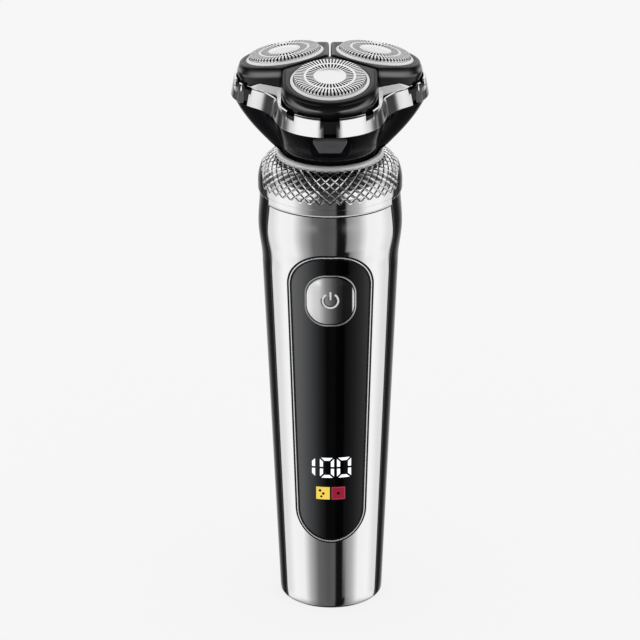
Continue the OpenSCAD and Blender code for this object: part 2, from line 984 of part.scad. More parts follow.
rim_t = 0.5;
ear_in = 10.7;
ear_out = 11.9;
ear_r = 1.6;
trunnion_r = 0.8;
carrier_hole_r = 9.9;
module at_cutter(a) {
    rotate([0, 0, a])
        translate([lobe_c, 0, cap_z])
            rotate([0, cutter_tilt, 0])
                children();
}
module cutter_carrier() {
    rim = band_r - band_t - seat;
    rim_waist = waist_band_r - band_t - seat;
    color("#1b1c20")
        difference() {
            union() {
                translate([0, 0, carrier_z])
                    linear_extrude(carrier_t)
                        soft_lobes(rim, rim_waist);
                translate([0, 0, carrier_z])
                    linear_extrude(band_top - ledge_t - seat - carrier_z)
                        difference() {
                            soft_lobes(rim, rim_waist);
                            soft_lobes(rim - rim_t, rim_waist - rim_t);
                        }
                for (a = cutter_dirs)
                    at_cutter(a)
                        for (s = [-1, 1])
                            mirror([0, s < 0 ? 1 : 0, 0]) {
                                translate([0, ear_in, -ball_drop])
                                    rotate([-90, 0, 0])
                                        cylinder(r = ear_r, h = ear_out - ear_in);
                                translate([-ear_r, ear_in, carrier_z - cap_z - 0.2])
                                    cube([2 * ear_r, ear_out - ear_in,
                                        cap_z - carrier_z + 0.2 - ball_drop]);
                            }
                knuckle(-knuckle_w / 2, knuckle_w);
                translate([-knuckle_w / 2, waist_band_r - 0.6, band_z])
                    cube([knuckle_w, hinge_y - waist_band_r + 0.6, 1.5]);
                translate([-latch_w / 2, latch_y - latch_t / 2, deck_z - 0.7])
                    cube([latch_w, latch_t, carrier_z - deck_z + 1]);
            }
            for (a = cutter_dirs) {
                rotate([0, 0, a])
                    translate([centre_dist, 0, carrier_z - 1])
                        cylinder(r = carrier_hole_r, h = carrier_t + 1.4);
                at_cutter(a)
                    translate([0, -big / 2, -ball_drop])
                        rotate([-90, 0, 0])
                            cylinder(r = trunnion_r + run, h = big);
            }
            hinge_bore(pin_r + run);
            translate([0, 0, -big + carrier_z])
                linear_extrude(big)
                    difference() {
                        square(90, center = true);
                        translate([-knuckle_w / 2, -40])
                            square([knuckle_w, 80]);
                    }
        }
}

// pods: convex shells whose tilted top carries the cutter
pod_face = 1.6;
pod_top_t = 0.6;
pod_low_z = band_top - 1.8;
pod_in_r = 11.4;
module pod_slice(grow) {
    linear_extrude(0.05)
        pod_plan(grow, $fn = 48);
}
module pod(a) {
    color("#16171a")
        rotate([0, 0, a])
            difference() {
                union() {
                    hull() {
                        translate([0, 0, pod_low_z])
                            pod_slice(-0.1);
                        translate([0, 0, cap_z - ball_drop])
                            pod_slice(0);
                        translate([lobe_c, 0, cap_z])
                            rotate([0, cutter_tilt, 0])
                                translate([-lobe_c, 0, -pod_face - 0.9])
                                    pod_slice(0);
                        translate([lobe_c, 0, cap_z])
                            rotate([0, cutter_tilt, 0])
                                translate([-lobe_c, 0, -pod_face - 0.05])
                                    pod_slice(-0.7);
                    }
                }
                translate([lobe_c, 0, cap_z])
                    rotate([0, cutter_tilt, 0]) {
                        translate([0, 0, -5])
                            cylinder(r = cap_r + gap, h = 10);
                        difference() {
                            translate([0, 0, -20 - pod_face - pod_top_t])
                                union() {
                                    cylinder(r = pod_in_r, h = 20);
                                    translate([-ear_r - 0.7, -ear_out - 0.6, 0])
                                        cube([2 * ear_r + 1.4, 2 * ear_out + 1.2, 20]);
                                }
                            for (s = [-1, 1])
                                mirror([0, s < 0 ? 1 : 0, 0])
                                    translate([0, ear_in + 0.2, -ball_drop])
                                        rotate([-90, 0, 0])
                                            cylinder(r = trunnion_r, h = 4);
                        }
                    }
            }
}

module pod_ring(a) {
    color("#b4b8bf")
        at_cutter(a)
            rotate_extrude()
                polygon([[cap_r + gap, -pod_face + seat], [12.5, -pod_face + seat],
                    [12, -pod_face + 0.35], [cap_r + gap, -pod_face + 0.55]]);
}

// cutter cap: a cup with two rings of radial slots and a flange that keeps it in its pod
cap_t = 0.6;
cap_side = 0.55;
cap_flange = 0.4;
flange_r = 11.15;
flange_z = pod_face + pod_top_t + 0.3;
outer_slot_in = 7.5;
inner_slot_in = 4.6;
inner_slot_out = 7.1;
module slot_ring(count, r0, r1, depth) {
    for (i = [0:count - 1])
        rotate([0, 0, i * 360 / count])
            translate([r0, -slot_w / 2, -depth])
                cube([r1 - r0, slot_w, depth + 1]);
}
module cap(a) {
    color("#d3d5d8")
        at_cutter(a)
            difference() {
                rotate_extrude()
                    polygon([[0, -0.1], [4.3, -0.1], [4.5, -0.02], [cap_r - 0.8, 0], [cap_r - 0.25, -0.1],
                        [cap_r, -0.45], [cap_r, -flange_z], [flange_r, -flange_z],
                        [flange_r, -flange_z - cap_flange], [cap_r - cap_side, -flange_z - cap_flange],
                        [cap_r - cap_side, -cap_t], [0, -cap_t]]);
                slot_ring(outer_slots, outer_slot_in, cap_r + 1, 1.3);
                slot_ring(inner_slots, inner_slot_in, inner_slot_out, 1.3);
            }
}

// cutter: a hub with a drive slot and two rings of raked blades
cutter_r = 9.6;
blade_top = cap_t + 0.15;
disc_z = 2.5;
disc_t = 0.8;
hub_r = 3.7;
module blade_ring(r0, r1) {
    for (i = [0:blade_count - 1])
        rotate([0, 0, i * 360 / blade_count])
            translate([r0, 0, -disc_z - 0.2])
                rotate([0, 0, 18])
                    translate([0, -0.25, 0])
                        cube([r1 - r0, 0.5, disc_z + 0.2 - blade_top]);
}
module cutter(a) {
    color("#a9acb2")
        at_cutter(a)
            difference() {
                union() {
                    translate([0, 0, -disc_z - disc_t])
                        cylinder(r = cutter_r, h = disc_t);
                    translate([0, 0, -hub_low])
                        cylinder(r = hub_r, h = hub_low - disc_z);
                    intersection() {
                        union() {
                            blade_ring(outer_slot_in + 0.1, cutter_r + 0.4);
                            blade_ring(inner_slot_in + 0.2, inner_slot_out - 0.1);
                        }
                        translate([0, 0, -disc_z - 1])
                            cylinder(r = cutter_r, h = 10);
                    }
                }
                translate([-2.5, -1.6, -hub_low - 1])
                    cube([5, 3.2, slot_depth + 1]);
            }
}

front_shell();
rear_shell();
base_cap();
knurled_collar();
neck_ring();
neck_socket();
neck_seal();
display_panel();
panel_trim();
button_bezel();
display_module();
main_board();
power_switch();
charging_port();
chassis();
board_screws();
motor_can();
motor_mount();
motor_screws();
battery_cell();
battery_tabs();
motor_shaft();
drive_coupling();
power_button();
head_housing();
gear_deck();
spindle_seals();
deck_screws();
hinge_pin();
release_button();
centre_gear();
drive_gear(dir_front);  // drive_gear_front
drive_gear(dir_right);  // drive_gear_right
drive_gear(dir_left);  // drive_gear_left
spindle(dir_front);  // spindle_front
spindle(dir_right);  // spindle_right
spindle(dir_left);  // spindle_left
chrome_band();
cutter_carrier();
pod(dir_front);  // pod_front
pod(dir_right);  // pod_right
pod(dir_left);  // pod_left
pod_ring(dir_front);  // pod_ring_front
pod_ring(dir_right);  // pod_ring_right
pod_ring(dir_left);  // pod_ring_left
cap(dir_front);  // cap_front
cap(dir_right);  // cap_right
cap(dir_left);  // cap_left
cutter(dir_front);  // cutter_front
cutter(dir_right);  // cutter_right
cutter(dir_left);  // cutter_left
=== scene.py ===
"""Looks of a rotary electric shaver: smooth shells, knurled shoulder, slotted cutter caps and their finishes.

Every surface is worked out with numpy in millimetres and placed in the row frame in metres.
"""
import math

import bmesh
import bpy
import numpy as np
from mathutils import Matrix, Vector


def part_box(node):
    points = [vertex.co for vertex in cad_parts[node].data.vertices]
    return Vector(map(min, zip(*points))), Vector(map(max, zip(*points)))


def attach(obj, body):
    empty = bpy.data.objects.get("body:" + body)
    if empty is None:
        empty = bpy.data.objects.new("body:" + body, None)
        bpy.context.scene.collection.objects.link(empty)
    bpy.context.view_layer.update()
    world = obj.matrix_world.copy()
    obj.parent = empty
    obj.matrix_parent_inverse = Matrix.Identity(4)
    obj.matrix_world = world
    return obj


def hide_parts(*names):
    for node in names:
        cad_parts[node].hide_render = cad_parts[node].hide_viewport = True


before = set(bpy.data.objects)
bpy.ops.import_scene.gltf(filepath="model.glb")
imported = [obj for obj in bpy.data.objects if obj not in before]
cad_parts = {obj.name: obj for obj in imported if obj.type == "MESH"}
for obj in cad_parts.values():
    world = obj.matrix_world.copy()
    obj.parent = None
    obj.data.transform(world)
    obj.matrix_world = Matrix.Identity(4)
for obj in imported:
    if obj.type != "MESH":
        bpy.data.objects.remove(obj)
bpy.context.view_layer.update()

MM = 0.001
DIRS = {"front": -90.0, "right": 30.0, "left": 150.0}


def heights(node):
    """Lowest and highest point of a CAD node, in millimetres."""
    low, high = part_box(node)
    return low[2] / MM, high[2] / MM


# ---------------------------------------------------------------- driving sizes, in millimetres
SHELL_H = heights("front_shell")[1]
NECK_Z = heights("neck_ring")[1]
BAND_Z, BAND_TOP = heights("chrome_band")
HOOD_TOP = BAND_Z - 0.25
FOOT_R, WAIST_R, BULGE_R, SEAM_R = 15.5, 20.3, 21.45, 20.95
BULGE_LEN = 22.2
FOOT_ROUND = 1.4
WALL = 1.6
SPLIT_FOOT, SPLIT_SEAM = 7.8, 10.7
WING_H, WING_SPREAD = 7.8, 8.4
RIM_R, RIM_H, NECK_R = 21.3, 3.1, 15.8
SPIGOT_R = 12.6
LOBE_C, BAND_R, WAIST_BAND_R = 15.6, 15.4, 20.7
CAP_Z = BAND_TOP + 7.9
TILT = math.radians(10)
POD_R, POD_GAP, POD_FACE = 13.8, 1.0, 1.6
CAP_R = 10.5
PANEL_Z0, PANEL_Z1 = heights("display_panel")
PANEL_LOW, PANEL_HIGH, PANEL_ROUND = 9.8, 11.95, 10.0
BUTTON_Z, BUTTON_W, BUTTON_H, BUTTON_ROUND = 104.2, 13.7, 14.0, 5.5
BEZEL_W, BEZEL_H = 15.3, 16.5


# ---------------------------------------------------------------- mesh helpers
WELD = 2e-6


def mesh_object(name, parts, weld=True):
    """One object from a list of (points in mm, faces), with its faces pointing outwards."""
    verts, faces, start = [], [], 0
    for points, polys in parts:
        points = np.asarray(points, float).reshape(-1, 3)
        verts.append(points)
        faces += [tuple(int(i) + start for i in poly) for poly in polys]
        start += len(points)
    mesh = bpy.data.meshes.new(name)
    mesh.from_pydata((np.concatenate(verts) * MM).tolist(), [], faces)
    bm = bmesh.new()
    bm.from_mesh(mesh)
    if weld:
        bmesh.ops.remove_doubles(bm, verts=bm.verts, dist=WELD)
    bmesh.ops.recalc_face_normals(bm, faces=bm.faces)
    bm.to_mesh(mesh)
    bm.free()
    obj = bpy.data.objects.new(name, mesh)
    bpy.context.scene.collection.objects.link(obj)
    return obj


def piece(name, parts, material, body, replaces=(), sharp_deg=35):
    """A finished object that rides on a body, shaded smooth up to the sharp angle."""
    obj = mesh_object(name, parts)
    mesh = obj.data
    mesh.polygons.foreach_set("use_smooth", np.ones(len(mesh.polygons), bool))
    mesh.set_sharp_from_angle(angle=math.radians(sharp_deg))
    mesh.materials.append(material)
    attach(obj, body)
    if replaces:
        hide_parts(*replaces)


def loft(loops, cap=True, ring=False):
    """Quads between a stack of closed loops (m, n, 3); capped at both ends, or closed into a ring."""
    loops = np.asarray(loops, float)
    m, n, _ = loops.shape
    index = np.arange(m * n).reshape(m, n)
    up = np.roll(index, -1, axis=0) if ring else index[1:]
    low = index if ring else index[:-1]
    quads = np.stack([low, np.roll(low, -1, 1), np.roll(up, -1, 1), up], -1).reshape(-1, 4).tolist()
    if cap and not ring:
        quads += [index[0][::-1].tolist(), index[-1].tolist()]
    return loops.reshape(-1, 3), quads


def circle(n):
    """n angles in radians, once round."""
    return np.linspace(0, 2 * np.pi, n, endpoint=False)


def polar(r, z, a):
    """Points at radius r, height z and angle a in radians."""
    return np.stack(np.broadcast_arrays(r * np.cos(a), r * np.sin(a), z), -1)


def around(r, z, a):
    """Points at radius r, height z and angle a in degrees."""
    return polar(r, z, np.radians(a))


def sweep_ring(path, normals, profile):
    """A closed ring: the profile's (across, out) points are carried along a closed front outline.

    path and normals are (n, 2) in X and Z; a point lies at path + across * normal, on the handle's
    skin moved outward by out."""
    across, out = np.asarray(profile, float).T
    xz = path[:, None, :] + across[None, :, None] * normals[:, None, :]
    return loft(on_skin(xz[..., 0], xz[..., 1], out[None, :]), ring=True)


def carve(base, joins, cuts):
    """Joins solids to the base and cuts others from it; returns the finished points and faces in mm."""
    body = mesh_object("blank", [base], weld=False)
    tools = []
    for operation, shapes in (("UNION", joins), ("DIFFERENCE", cuts)):
        for shape in shapes:
            tools.append(mesh_object("tool", [shape], weld=False))
            step = body.modifiers.new(operation, "BOOLEAN")
            step.operation, step.solver, step.object = operation, "EXACT", tools[-1]
    shaped = body.evaluated_get(bpy.context.evaluated_depsgraph_get())
    mesh = shaped.to_mesh()
    points = np.empty(len(mesh.vertices) * 3)
    mesh.vertices.foreach_get("co", points)
    faces = [tuple(p.vertices) for p in mesh.polygons]
    shaped.to_mesh_clear()
    for obj in [body] + tools:
        mesh = obj.data
        bpy.data.objects.remove(obj)
        bpy.data.meshes.remove(mesh)
    return points.reshape(-1, 3) / MM, faces


# ---------------------------------------------------------------- forms of the handle
def ease(a, b, t):
    """Half a cosine wave from a to b."""
    return a + (b - a) * (1 - np.cos(np.pi * np.clip(t, 0, 1))) / 2


def skin_r(z):
    """Outer radius of the handle: a straight taper, then a bulge of two half cosine waves."""
    z = np.asarray(z, float)
    taper = SHELL_H - BULGE_LEN
    bulge = SHELL_H - 0.44 * BULGE_LEN
    low = FOOT_R + (WAIST_R - FOOT_R) * z / taper
    mid = ease(WAIST_R, BULGE_R, (z - taper) / (bulge - taper))
    high = ease(BULGE_R, SEAM_R, (z - bulge) / (SHELL_H - bulge))
    return np.where(z < taper, low, np.where(z < bulge, mid, high))


def foot_cut(z):
    """How far the rounded foot edge stands inside the skin at height z: a quarter circle."""
    depth = np.clip(FOOT_ROUND - np.asarray(z, float), 0, FOOT_ROUND)
    return FOOT_ROUND - np.sqrt(FOOT_ROUND ** 2 - depth ** 2)


def shoulder_r(z):
    """Outer radius of the shoulder: a chamfered rim, then a quarter ellipse up to the neck ring."""
    z = np.asarray(z, float)
    rim_z = SHELL_H + RIM_H
    rim = SEAM_R + (RIM_R - SEAM_R) * np.sin(np.pi / 2 * np.clip((z - SHELL_H) / 1.2, 0, 1))
    t = np.clip((z - rim_z) / (NECK_Z - rim_z), 0, 1)
    curve = NECK_R + (RIM_R - NECK_R) * np.sqrt(1 - t ** 2)
    return np.where(z < rim_z, rim, curve)


def on_skin(x, z, lift):
    """The point of the handle's front at (x, z), moved outward by lift."""
    r = skin_r(z) + lift
    return np.stack(np.broadcast_arrays(x, -np.sqrt(np.maximum(r ** 2 - x ** 2, 0)), z), -1)


def split_angle(z):
    """Angle from the front at which the sloping parting plane meets the skin."""
    plane = SPLIT_FOOT + (SPLIT_SEAM - SPLIT_FOOT) * np.asarray(z, float) / SHELL_H
    return np.arccos(plane / skin_r(z))


def wing_angle(z):
    """Angle from the front at which the rear shell's wing, a quarter ellipse seen from the side,
    meets the shoulder."""
    t = np.clip((np.asarray(z, float) - SHELL_H) / WING_H, 0, 1)
    return np.arccos(WING_SPREAD * np.sqrt(1 - t ** 2) / shoulder_r(z))


def slab(z, radius, middle, half, n, roll):
    """A curved wall between two angles: rows of closed loops, each an outer arc, a rounded edge,
    an inner arc and the other rounded edge. Angles are measured from the front."""
    z = np.asarray(z, float)[:, None]
    radius, half = np.asarray(radius, float)[:, None], np.asarray(half, float)[:, None]
    t = np.linspace(-1, 1, n)[None, :]
    turn = np.linspace(0, np.pi / 2, 5)[1:-1][None, :]
    inset = roll / radius
    outer = t * (half - inset)
    edge = half - inset * (1 - np.sin(turn))
    phi = middle + np.concatenate([outer, edge, half * t[:, ::-1], -edge[:, ::-1]], 1)
    sunk = radius - roll * (1 - np.cos(turn))
    r = np.concatenate([radius + 0 * outer, sunk, radius - WALL + 0 * outer, sunk[:, ::-1]], 1)
    return loft(np.stack([r * np.sin(phi), -r * np.cos(phi), z + 0 * r], -1))


# ---------------------------------------------------------------- front outlines, in X and Z
def outline(*corners):
    """A closed counter-clockwise outline and its outward directions. Each corner is an arc, as (centre x,
    centre z, radius, first and last angle in degrees from +X, points), with the points of the straight
    run that joins its end to the next arc's start."""
    points, normals = [], []
    for k, (x, z, r, first, last, n, run) in enumerate(corners):
        a = np.radians(np.linspace(first, last, n, endpoint=False))
        d = np.stack([np.cos(a), np.sin(a)], -1)
        x2, z2, r2, start2 = corners[(k + 1) % len(corners)][:4]
        turn, turn2 = math.radians(last), math.radians(start2)
        p = np.array([x + r * math.cos(turn), z + r * math.sin(turn)])
        q = np.array([x2 + r2 * math.cos(turn2), z2 + r2 * math.sin(turn2)])
        along = (q - p) / np.linalg.norm(q - p)
        points += [np.array([x, z]) + r * d, p + np.linspace(0, 1, run, endpoint=False)[:, None] * (q - p)]
        normals += [d, np.tile([along[1], -along[0]], (run, 1))]
    return np.concatenate(points), np.concatenate(normals)


def panel_line(grow=0.0):
    """The panel's outline: a half circle below, tapered sides and a flattened arch above."""
    low, arch = PANEL_LOW + grow, PANEL_ROUND + grow
    z0, z1, c = PANEL_Z0 + PANEL_LOW, PANEL_Z1 - PANEL_ROUND, PANEL_HIGH - PANEL_ROUND
    return outline((0, z0, low, 180, 360, 64, 96), (c, z1, arch, 0, 90, 32, 6), (-c, z1, arch, 90, 180, 32, 96))


def squircle_line(w, h, r, cz):
    """A rounded rectangle about (0, cz)."""
    x, z = w / 2 - r, h / 2 - r
    return outline(*[(sx * x, cz + sz * z, r, turn, turn + 90, 20, 8)
                     for sx, sz, turn in ((1, -1, 270), (1, 1, 0), (-1, 1, 90), (-1, -1, 180))])


def plate(path, normals, lift, depth, edge, bow=0.0, steps=26):
    """A closed plate on the skin inside an outline: rings shrink to the outline's middle line,
    with a rounded edge and an optional bow that lifts the middle."""
    reach = np.abs(path[:, 0]).max()
    middle = np.stack([0 * path[:, 0], np.clip(path[:, 1], path[:, 1].min() + reach,
                                               path[:, 1].max() - reach)], -1)
    rim = path - normals * edge
    rings = [(rim * (1 - s) + middle * s, lift + bow * (1 - (1 - s) ** 2)) for s in np.linspace(1, 0, steps)[:-1]]
    rings += [(path - normals * edge * (1 - np.cos(a)), lift - edge * (1 - np.sin(a)))
              for a in np.linspace(np.pi / 2, 0, 6)]
    rings += [(path * (1 - s) + middle * s, lift - depth) for s in np.linspace(0, 1, 14)]
    return loft([on_skin(*xz.T, height) for xz, height in rings], cap=False)


# ---------------------------------------------------------------- forms of the head
def lobe_turn(a):
    """Angle in degrees from the nearest lobe's direction, between -60 and 60."""
    t = (np.asarray(a, float) - DIRS["right"]) % 120
    return np.where(t > 60, t - 120, t)


def plan_r(c, r, waist, a):
    """Radius of the lobed plan at angle a: the power mean of a circle of radius r set out by c, and
    of the waist circle."""
    t = np.radians(lobe_turn(a))
    lobe = c * np.cos(t) + np.sqrt(r ** 2 - (c * np.sin(t)) ** 2)
    return (lobe ** 14 + waist ** 14) ** (1 / 14)


def hood_level(t):
    """Lobe offset, lobe radius and waist radius at share t of the housing's height: smooth curves
    through five stations."""
    t = np.asarray(t, float)
    s = [0, 0.255, 0.46, 0.7, 1]
    values = [[0, 0.385 * LOBE_C, 0.655 * LOBE_C, 0.872 * LOBE_C, LOBE_C],
              [SPIGOT_R, SPIGOT_R + 0.7, SPIGOT_R + 0.9, SPIGOT_R + 1.4, BAND_R - 0.3],
              [10, 14.6, 16.6, 18.6, WAIST_BAND_R - 0.4]]
    return [np.polyval(np.polyfit(s, v, 4), t) for v in values]


def hood_loop(t, inward, a, z=None):
    """One closed loop of the housing's wall, set inward by a distance."""
    c, r, waist = hood_level(t)
    height = NECK_Z + t * (HOOD_TOP - NECK_Z) if z is None else z
    return around(plan_r(c, r - inward, waist - inward, a), height, a)


def to_cutter(points, direction):
    """Points in a cutter's own frame (out, along, up) to the row frame: tilted, then set round the axis."""
    p = np.asarray(points, float)
    x, y, z = p[..., 0], p[..., 1], p[..., 2]
    radial = LOBE_C + x * math.cos(TILT) + z * math.sin(TILT)
    height = CAP_Z - x * math.sin(TILT) + z * math.cos(TILT)
    a = math.radians(DIRS[direction])
    return np.stack([radial * math.cos(a) - y * math.sin(a),
                     radial * math.sin(a) + y * math.cos(a), height], -1)


def level_to_cutter(points):
    """Points given level about a cutter's centre (out, along, height) in that cutter's tilted frame."""
    x, y, z = points[..., 0], points[..., 1], points[..., 2] - CAP_Z
    return np.stack([x * math.cos(TILT) - z * math.sin(TILT), y,
                     x * math.sin(TILT) + z * math.cos(TILT)], -1)


def pod_reach(a, grow, soft=60):
    """Distance from a cutter's centre to its pod's outline: a round outer end, straight sides and
    the two faces of a 120 degree sector, joined by a soft minimum that rounds the corners."""
    s, c = np.abs(np.sin(a)), np.cos(a)
    side = POD_R + grow
    stadium = np.where(c >= 0, side, side / np.maximum(s, 1e-3))
    x0 = (POD_GAP / 2 - grow) / math.sin(math.radians(60))
    slope = np.maximum(s - math.sqrt(3) * c, 1e-3)
    sector = math.sqrt(3) * (LOBE_C - x0) / slope
    return (stadium ** -soft + sector ** -soft) ** (-1 / soft)


def wall_bulge(s, ridge=0.70, under=1.35, over=2.1, soft=0.26):
    """How far a pod's wall stands out at share s of its height: two straight slopes, in mm per share,
    that meet in a soft ridge; nothing at the upper end."""
    both = lambda q: -soft * np.log(np.exp(-under * (q - ridge) / soft) + np.exp(over * (q - ridge) / soft))
    return float(both(s) - both(1.0))


WELL_R, WELL_SHIFT = 11.4, 1.6
SHOULDER = 0.8
WALL_ROWS = 24


def pod_shape(direction, n=240):
    """A pod: level outline at the foot, tilted at the top, with a bulging wall, a bevelled shoulder,
    a flat face and the opening for the cap."""
    a = circle(n)

    def level(grow, z):
        return level_to_cutter(polar(pod_reach(a, grow), z, a))

    foot = BAND_TOP - 1.8
    brow_z = -POD_FACE - SHOULDER
    low, brow = level(0.0, foot + 0.4), polar(pod_reach(a, 0.0), brow_z, a)
    loops = [level(-1.3, foot), level(-0.3, foot), level(-0.08, foot + 0.1)]
    # the bulge fades where the wall faces the other pods
    share = np.clip((np.cos(a) + 0.55) / 0.5, 0, 1)
    room = 0.25 + 0.75 * share * share * (3 - 2 * share)
    outward = polar(1, 0, a)
    for s in np.linspace(0, 1, WALL_ROWS):
        bulge = wall_bulge(s)
        loops.append(low * (1 - s) + brow * s + outward * (np.where(bulge > 0, room, 1) * bulge)[:, None])
    for s in np.linspace(0, np.pi / 2, 7)[1:]:
        loops.append(polar(pod_reach(a, -SHOULDER * (1 - np.cos(s))), brow_z + SHOULDER * np.sin(s), a))
    rim, hole = pod_reach(a, -SHOULDER), CAP_R + 0.3
    for s in np.linspace(0, 1, 8)[1:]:
        loops.append(polar(rim * (1 - s) + hole * s, -POD_FACE, a))
    loops += [polar(hole, -POD_FACE - 0.55, a), polar(WELL_R, -POD_FACE - 0.6, a),
              level_to_cutter(polar(WELL_R, foot + 0.3, a) - [WELL_SHIFT, 0, 0])]
    points, faces = loft(loops, ring=True)
    return to_cutter(points, direction), faces


def pod_face_plate(direction, n=240):
    """The satin plate let into a pod's flat face, between the pod's edge and the light lip."""
    a = circle(n)
    rim, lip_r = pod_reach(a, -1.05), 11.95
    levels = ((rim, -0.15), (rim, 0.02), (rim - 0.06, 0.05), (lip_r, 0.05), (lip_r, -0.3))
    points, faces = loft([polar(r, z - POD_FACE, a) for r, z in levels], ring=True)
    return to_cutter(points, direction), faces


# a cap from its middle out and over the edge: radius, height of the outer face, height of the inner face
CAP_STATIONS = np.array([
    [0.6, -0.14, -0.6], [2.6, -0.14, -0.6], [4.05, -0.14, -0.6], [4.3, -0.02, -0.6], [4.6, 0, -0.6],
    [4.75, 0, -0.6], [6.95, 0, -0.6], [7.1, 0, -0.6], [7.45, 0, -0.6], [7.6, 0, -0.6],
    [9.5, 0, -0.6], [9.95, -0.03, -0.6], [10.28, -0.16, -0.75], [10.44, -0.4, -0.9],
    [10.5, -0.75, -1.1], [10.5, -1.2, -1.35], [10.5, -2.4, -2.6]])
CAP_FINE, OUTER_SLOTS, INNER_SLOTS = 480, 60, 40
OUTER_ROWS, INNER_ROWS = slice(9, 14), slice(5, 6)
OUTER_OPEN, INNER_OPEN = 0.5, 0.55
CAP_EDGE_R, CAP_WALL = 9.9, 0.5


def slotted_cap(direction):
    """A cutter cap as a masked grid: rings of radius by angle, with every slot's cells left out and a
    wall raised round each hole, so that the slots are cut right through."""
    r, top, low = CAP_STATIONS.T[..., None]
    k = np.arange(CAP_FINE)
    a = 2 * np.pi * k / CAP_FINE
    outer, inner = polar(r, top, a), polar(np.where(r > CAP_EDGE_R, r - CAP_WALL, r), low, a)
    count = len(r) * CAP_FINE
    grid = np.arange(count).reshape(-1, CAP_FINE)
    solid = np.ones((len(r) - 1, CAP_FINE), bool)
    for rows, slots, share in ((OUTER_ROWS, OUTER_SLOTS, OUTER_OPEN), (INNER_ROWS, INNER_SLOTS, INNER_OPEN)):
        per_slot = CAP_FINE // slots
        solid[rows] &= k % per_slot >= per_slot * share
    none = np.zeros((1, CAP_FINE), bool)
    above, below = np.vstack([none, solid]), np.vstack([solid, none])
    inward_wall = below & ~above
    inward_wall[0] = False

    def quads(cells, *corners):
        """A quad for every chosen cell; a corner is (rings on, steps round, 0 outer or 1 inner face)."""
        i, j = np.nonzero(cells)
        return np.stack([grid[i + on, (j + step) % CAP_FINE] + face * count for on, step, face in corners], -1)

    polys = np.concatenate([
        quads(solid, (0, 0, 0), (1, 0, 0), (1, 1, 0), (0, 1, 0)),
        quads(solid, (0, 0, 1), (0, 1, 1), (1, 1, 1), (1, 0, 1)),
        quads(solid & ~np.roll(solid, 1, axis=1), (0, 0, 0), (0, 0, 1), (1, 0, 1), (1, 0, 0)),
        quads(solid & ~np.roll(solid, -1, axis=1), (0, 1, 0), (1, 1, 0), (1, 1, 1), (0, 1, 1)),
        quads(above & ~below, (0, 0, 0), (0, 0, 1), (0, 1, 1), (0, 1, 0)),
        quads(inward_wall, (0, 0, 0), (0, 1, 0), (0, 1, 1), (0, 0, 1))]).tolist()
    polys += [grid[0].tolist(), (grid[0][::-1] + count).tolist()]
    return to_cutter(np.concatenate([outer.reshape(-1, 3), inner.reshape(-1, 3)]), direction), polys


def turned(profile, direction, n=120):
    """A closed ring of revolution about a cutter's axis from a (radius, height) profile."""
    r, z = np.asarray(profile, float).T[..., None]
    points, faces = loft(polar(r, z, circle(n)), ring=True)
    return to_cutter(points, direction), faces


# ---------------------------------------------------------------- shader node helpers
def plug(tree, node, inputs):
    """Gives each input of a node its value, or links it to a socket."""
    for key, value in inputs.items():
        if isinstance(value, bpy.types.NodeSocket):
            tree.links.new(value, node.inputs[key])
        else:
            node.inputs[key].default_value = value
    return node


def add_node(tree, kind, inputs=None, **settings):
    """A shader node; its settings come first, because they decide which inputs it has."""
    node = tree.nodes.new("ShaderNode" + kind)
    for key, value in settings.items():
        setattr(node, key, value)
    return plug(tree, node, inputs or {})


def number(tree, kind, *values):
    """The result of a Math node; each value is a number or a socket."""
    return add_node(tree, "Math", dict(enumerate(values)), operation=kind).outputs[0]


def vector(tree, kind, output, *values):
    """The result of a Vector Math node."""
    return add_node(tree, "VectorMath", dict(enumerate(values)), operation=kind).outputs[output]


def blend(tree, share, low, high):
    """Two colours mixed by a share."""
    return add_node(tree, "Mix", {"Factor": share, "A": low, "B": high}, data_type="RGBA").outputs["Result"]


def smooth_step(tree, value, start, end):
    """0 before the start, 1 after the end, and a smooth step between."""
    return add_node(tree, "MapRange", {"From Min": start, "From Max": end, "Value": value},
                    interpolation_type="SMOOTHSTEP").outputs["Result"]


def ramp(tree, share, stops):
    """A colour ramp over a share, from (place, grey level or colour) pairs."""
    node = add_node(tree, "ValToRGB", {"Fac": share})
    elements = node.color_ramp.elements
    while len(elements) < len(stops):
        elements.new(0.5)
    for element, (place, tone) in zip(elements, stops):
        element.position, element.color = place, rgba(tone)
    return node.outputs["Color"]


def rgba(tone, factor=1.0):
    """A grey level or a colour, times a factor, as a socket's four numbers."""
    levels = (tone,) * 3 if isinstance(tone, (int, float)) else tone
    return (*[min(level * factor, 1) for level in levels], 1)


def set_surface(material, inputs):
    """Gives inputs of a finish's surface their values or links."""
    plug(material.node_tree, material.node_tree.nodes["Principled BSDF"], inputs)
    return material


def object_place(tree):
    """Object coordinates, in metres."""
    return add_node(tree, "TexCoord").outputs["Object"]


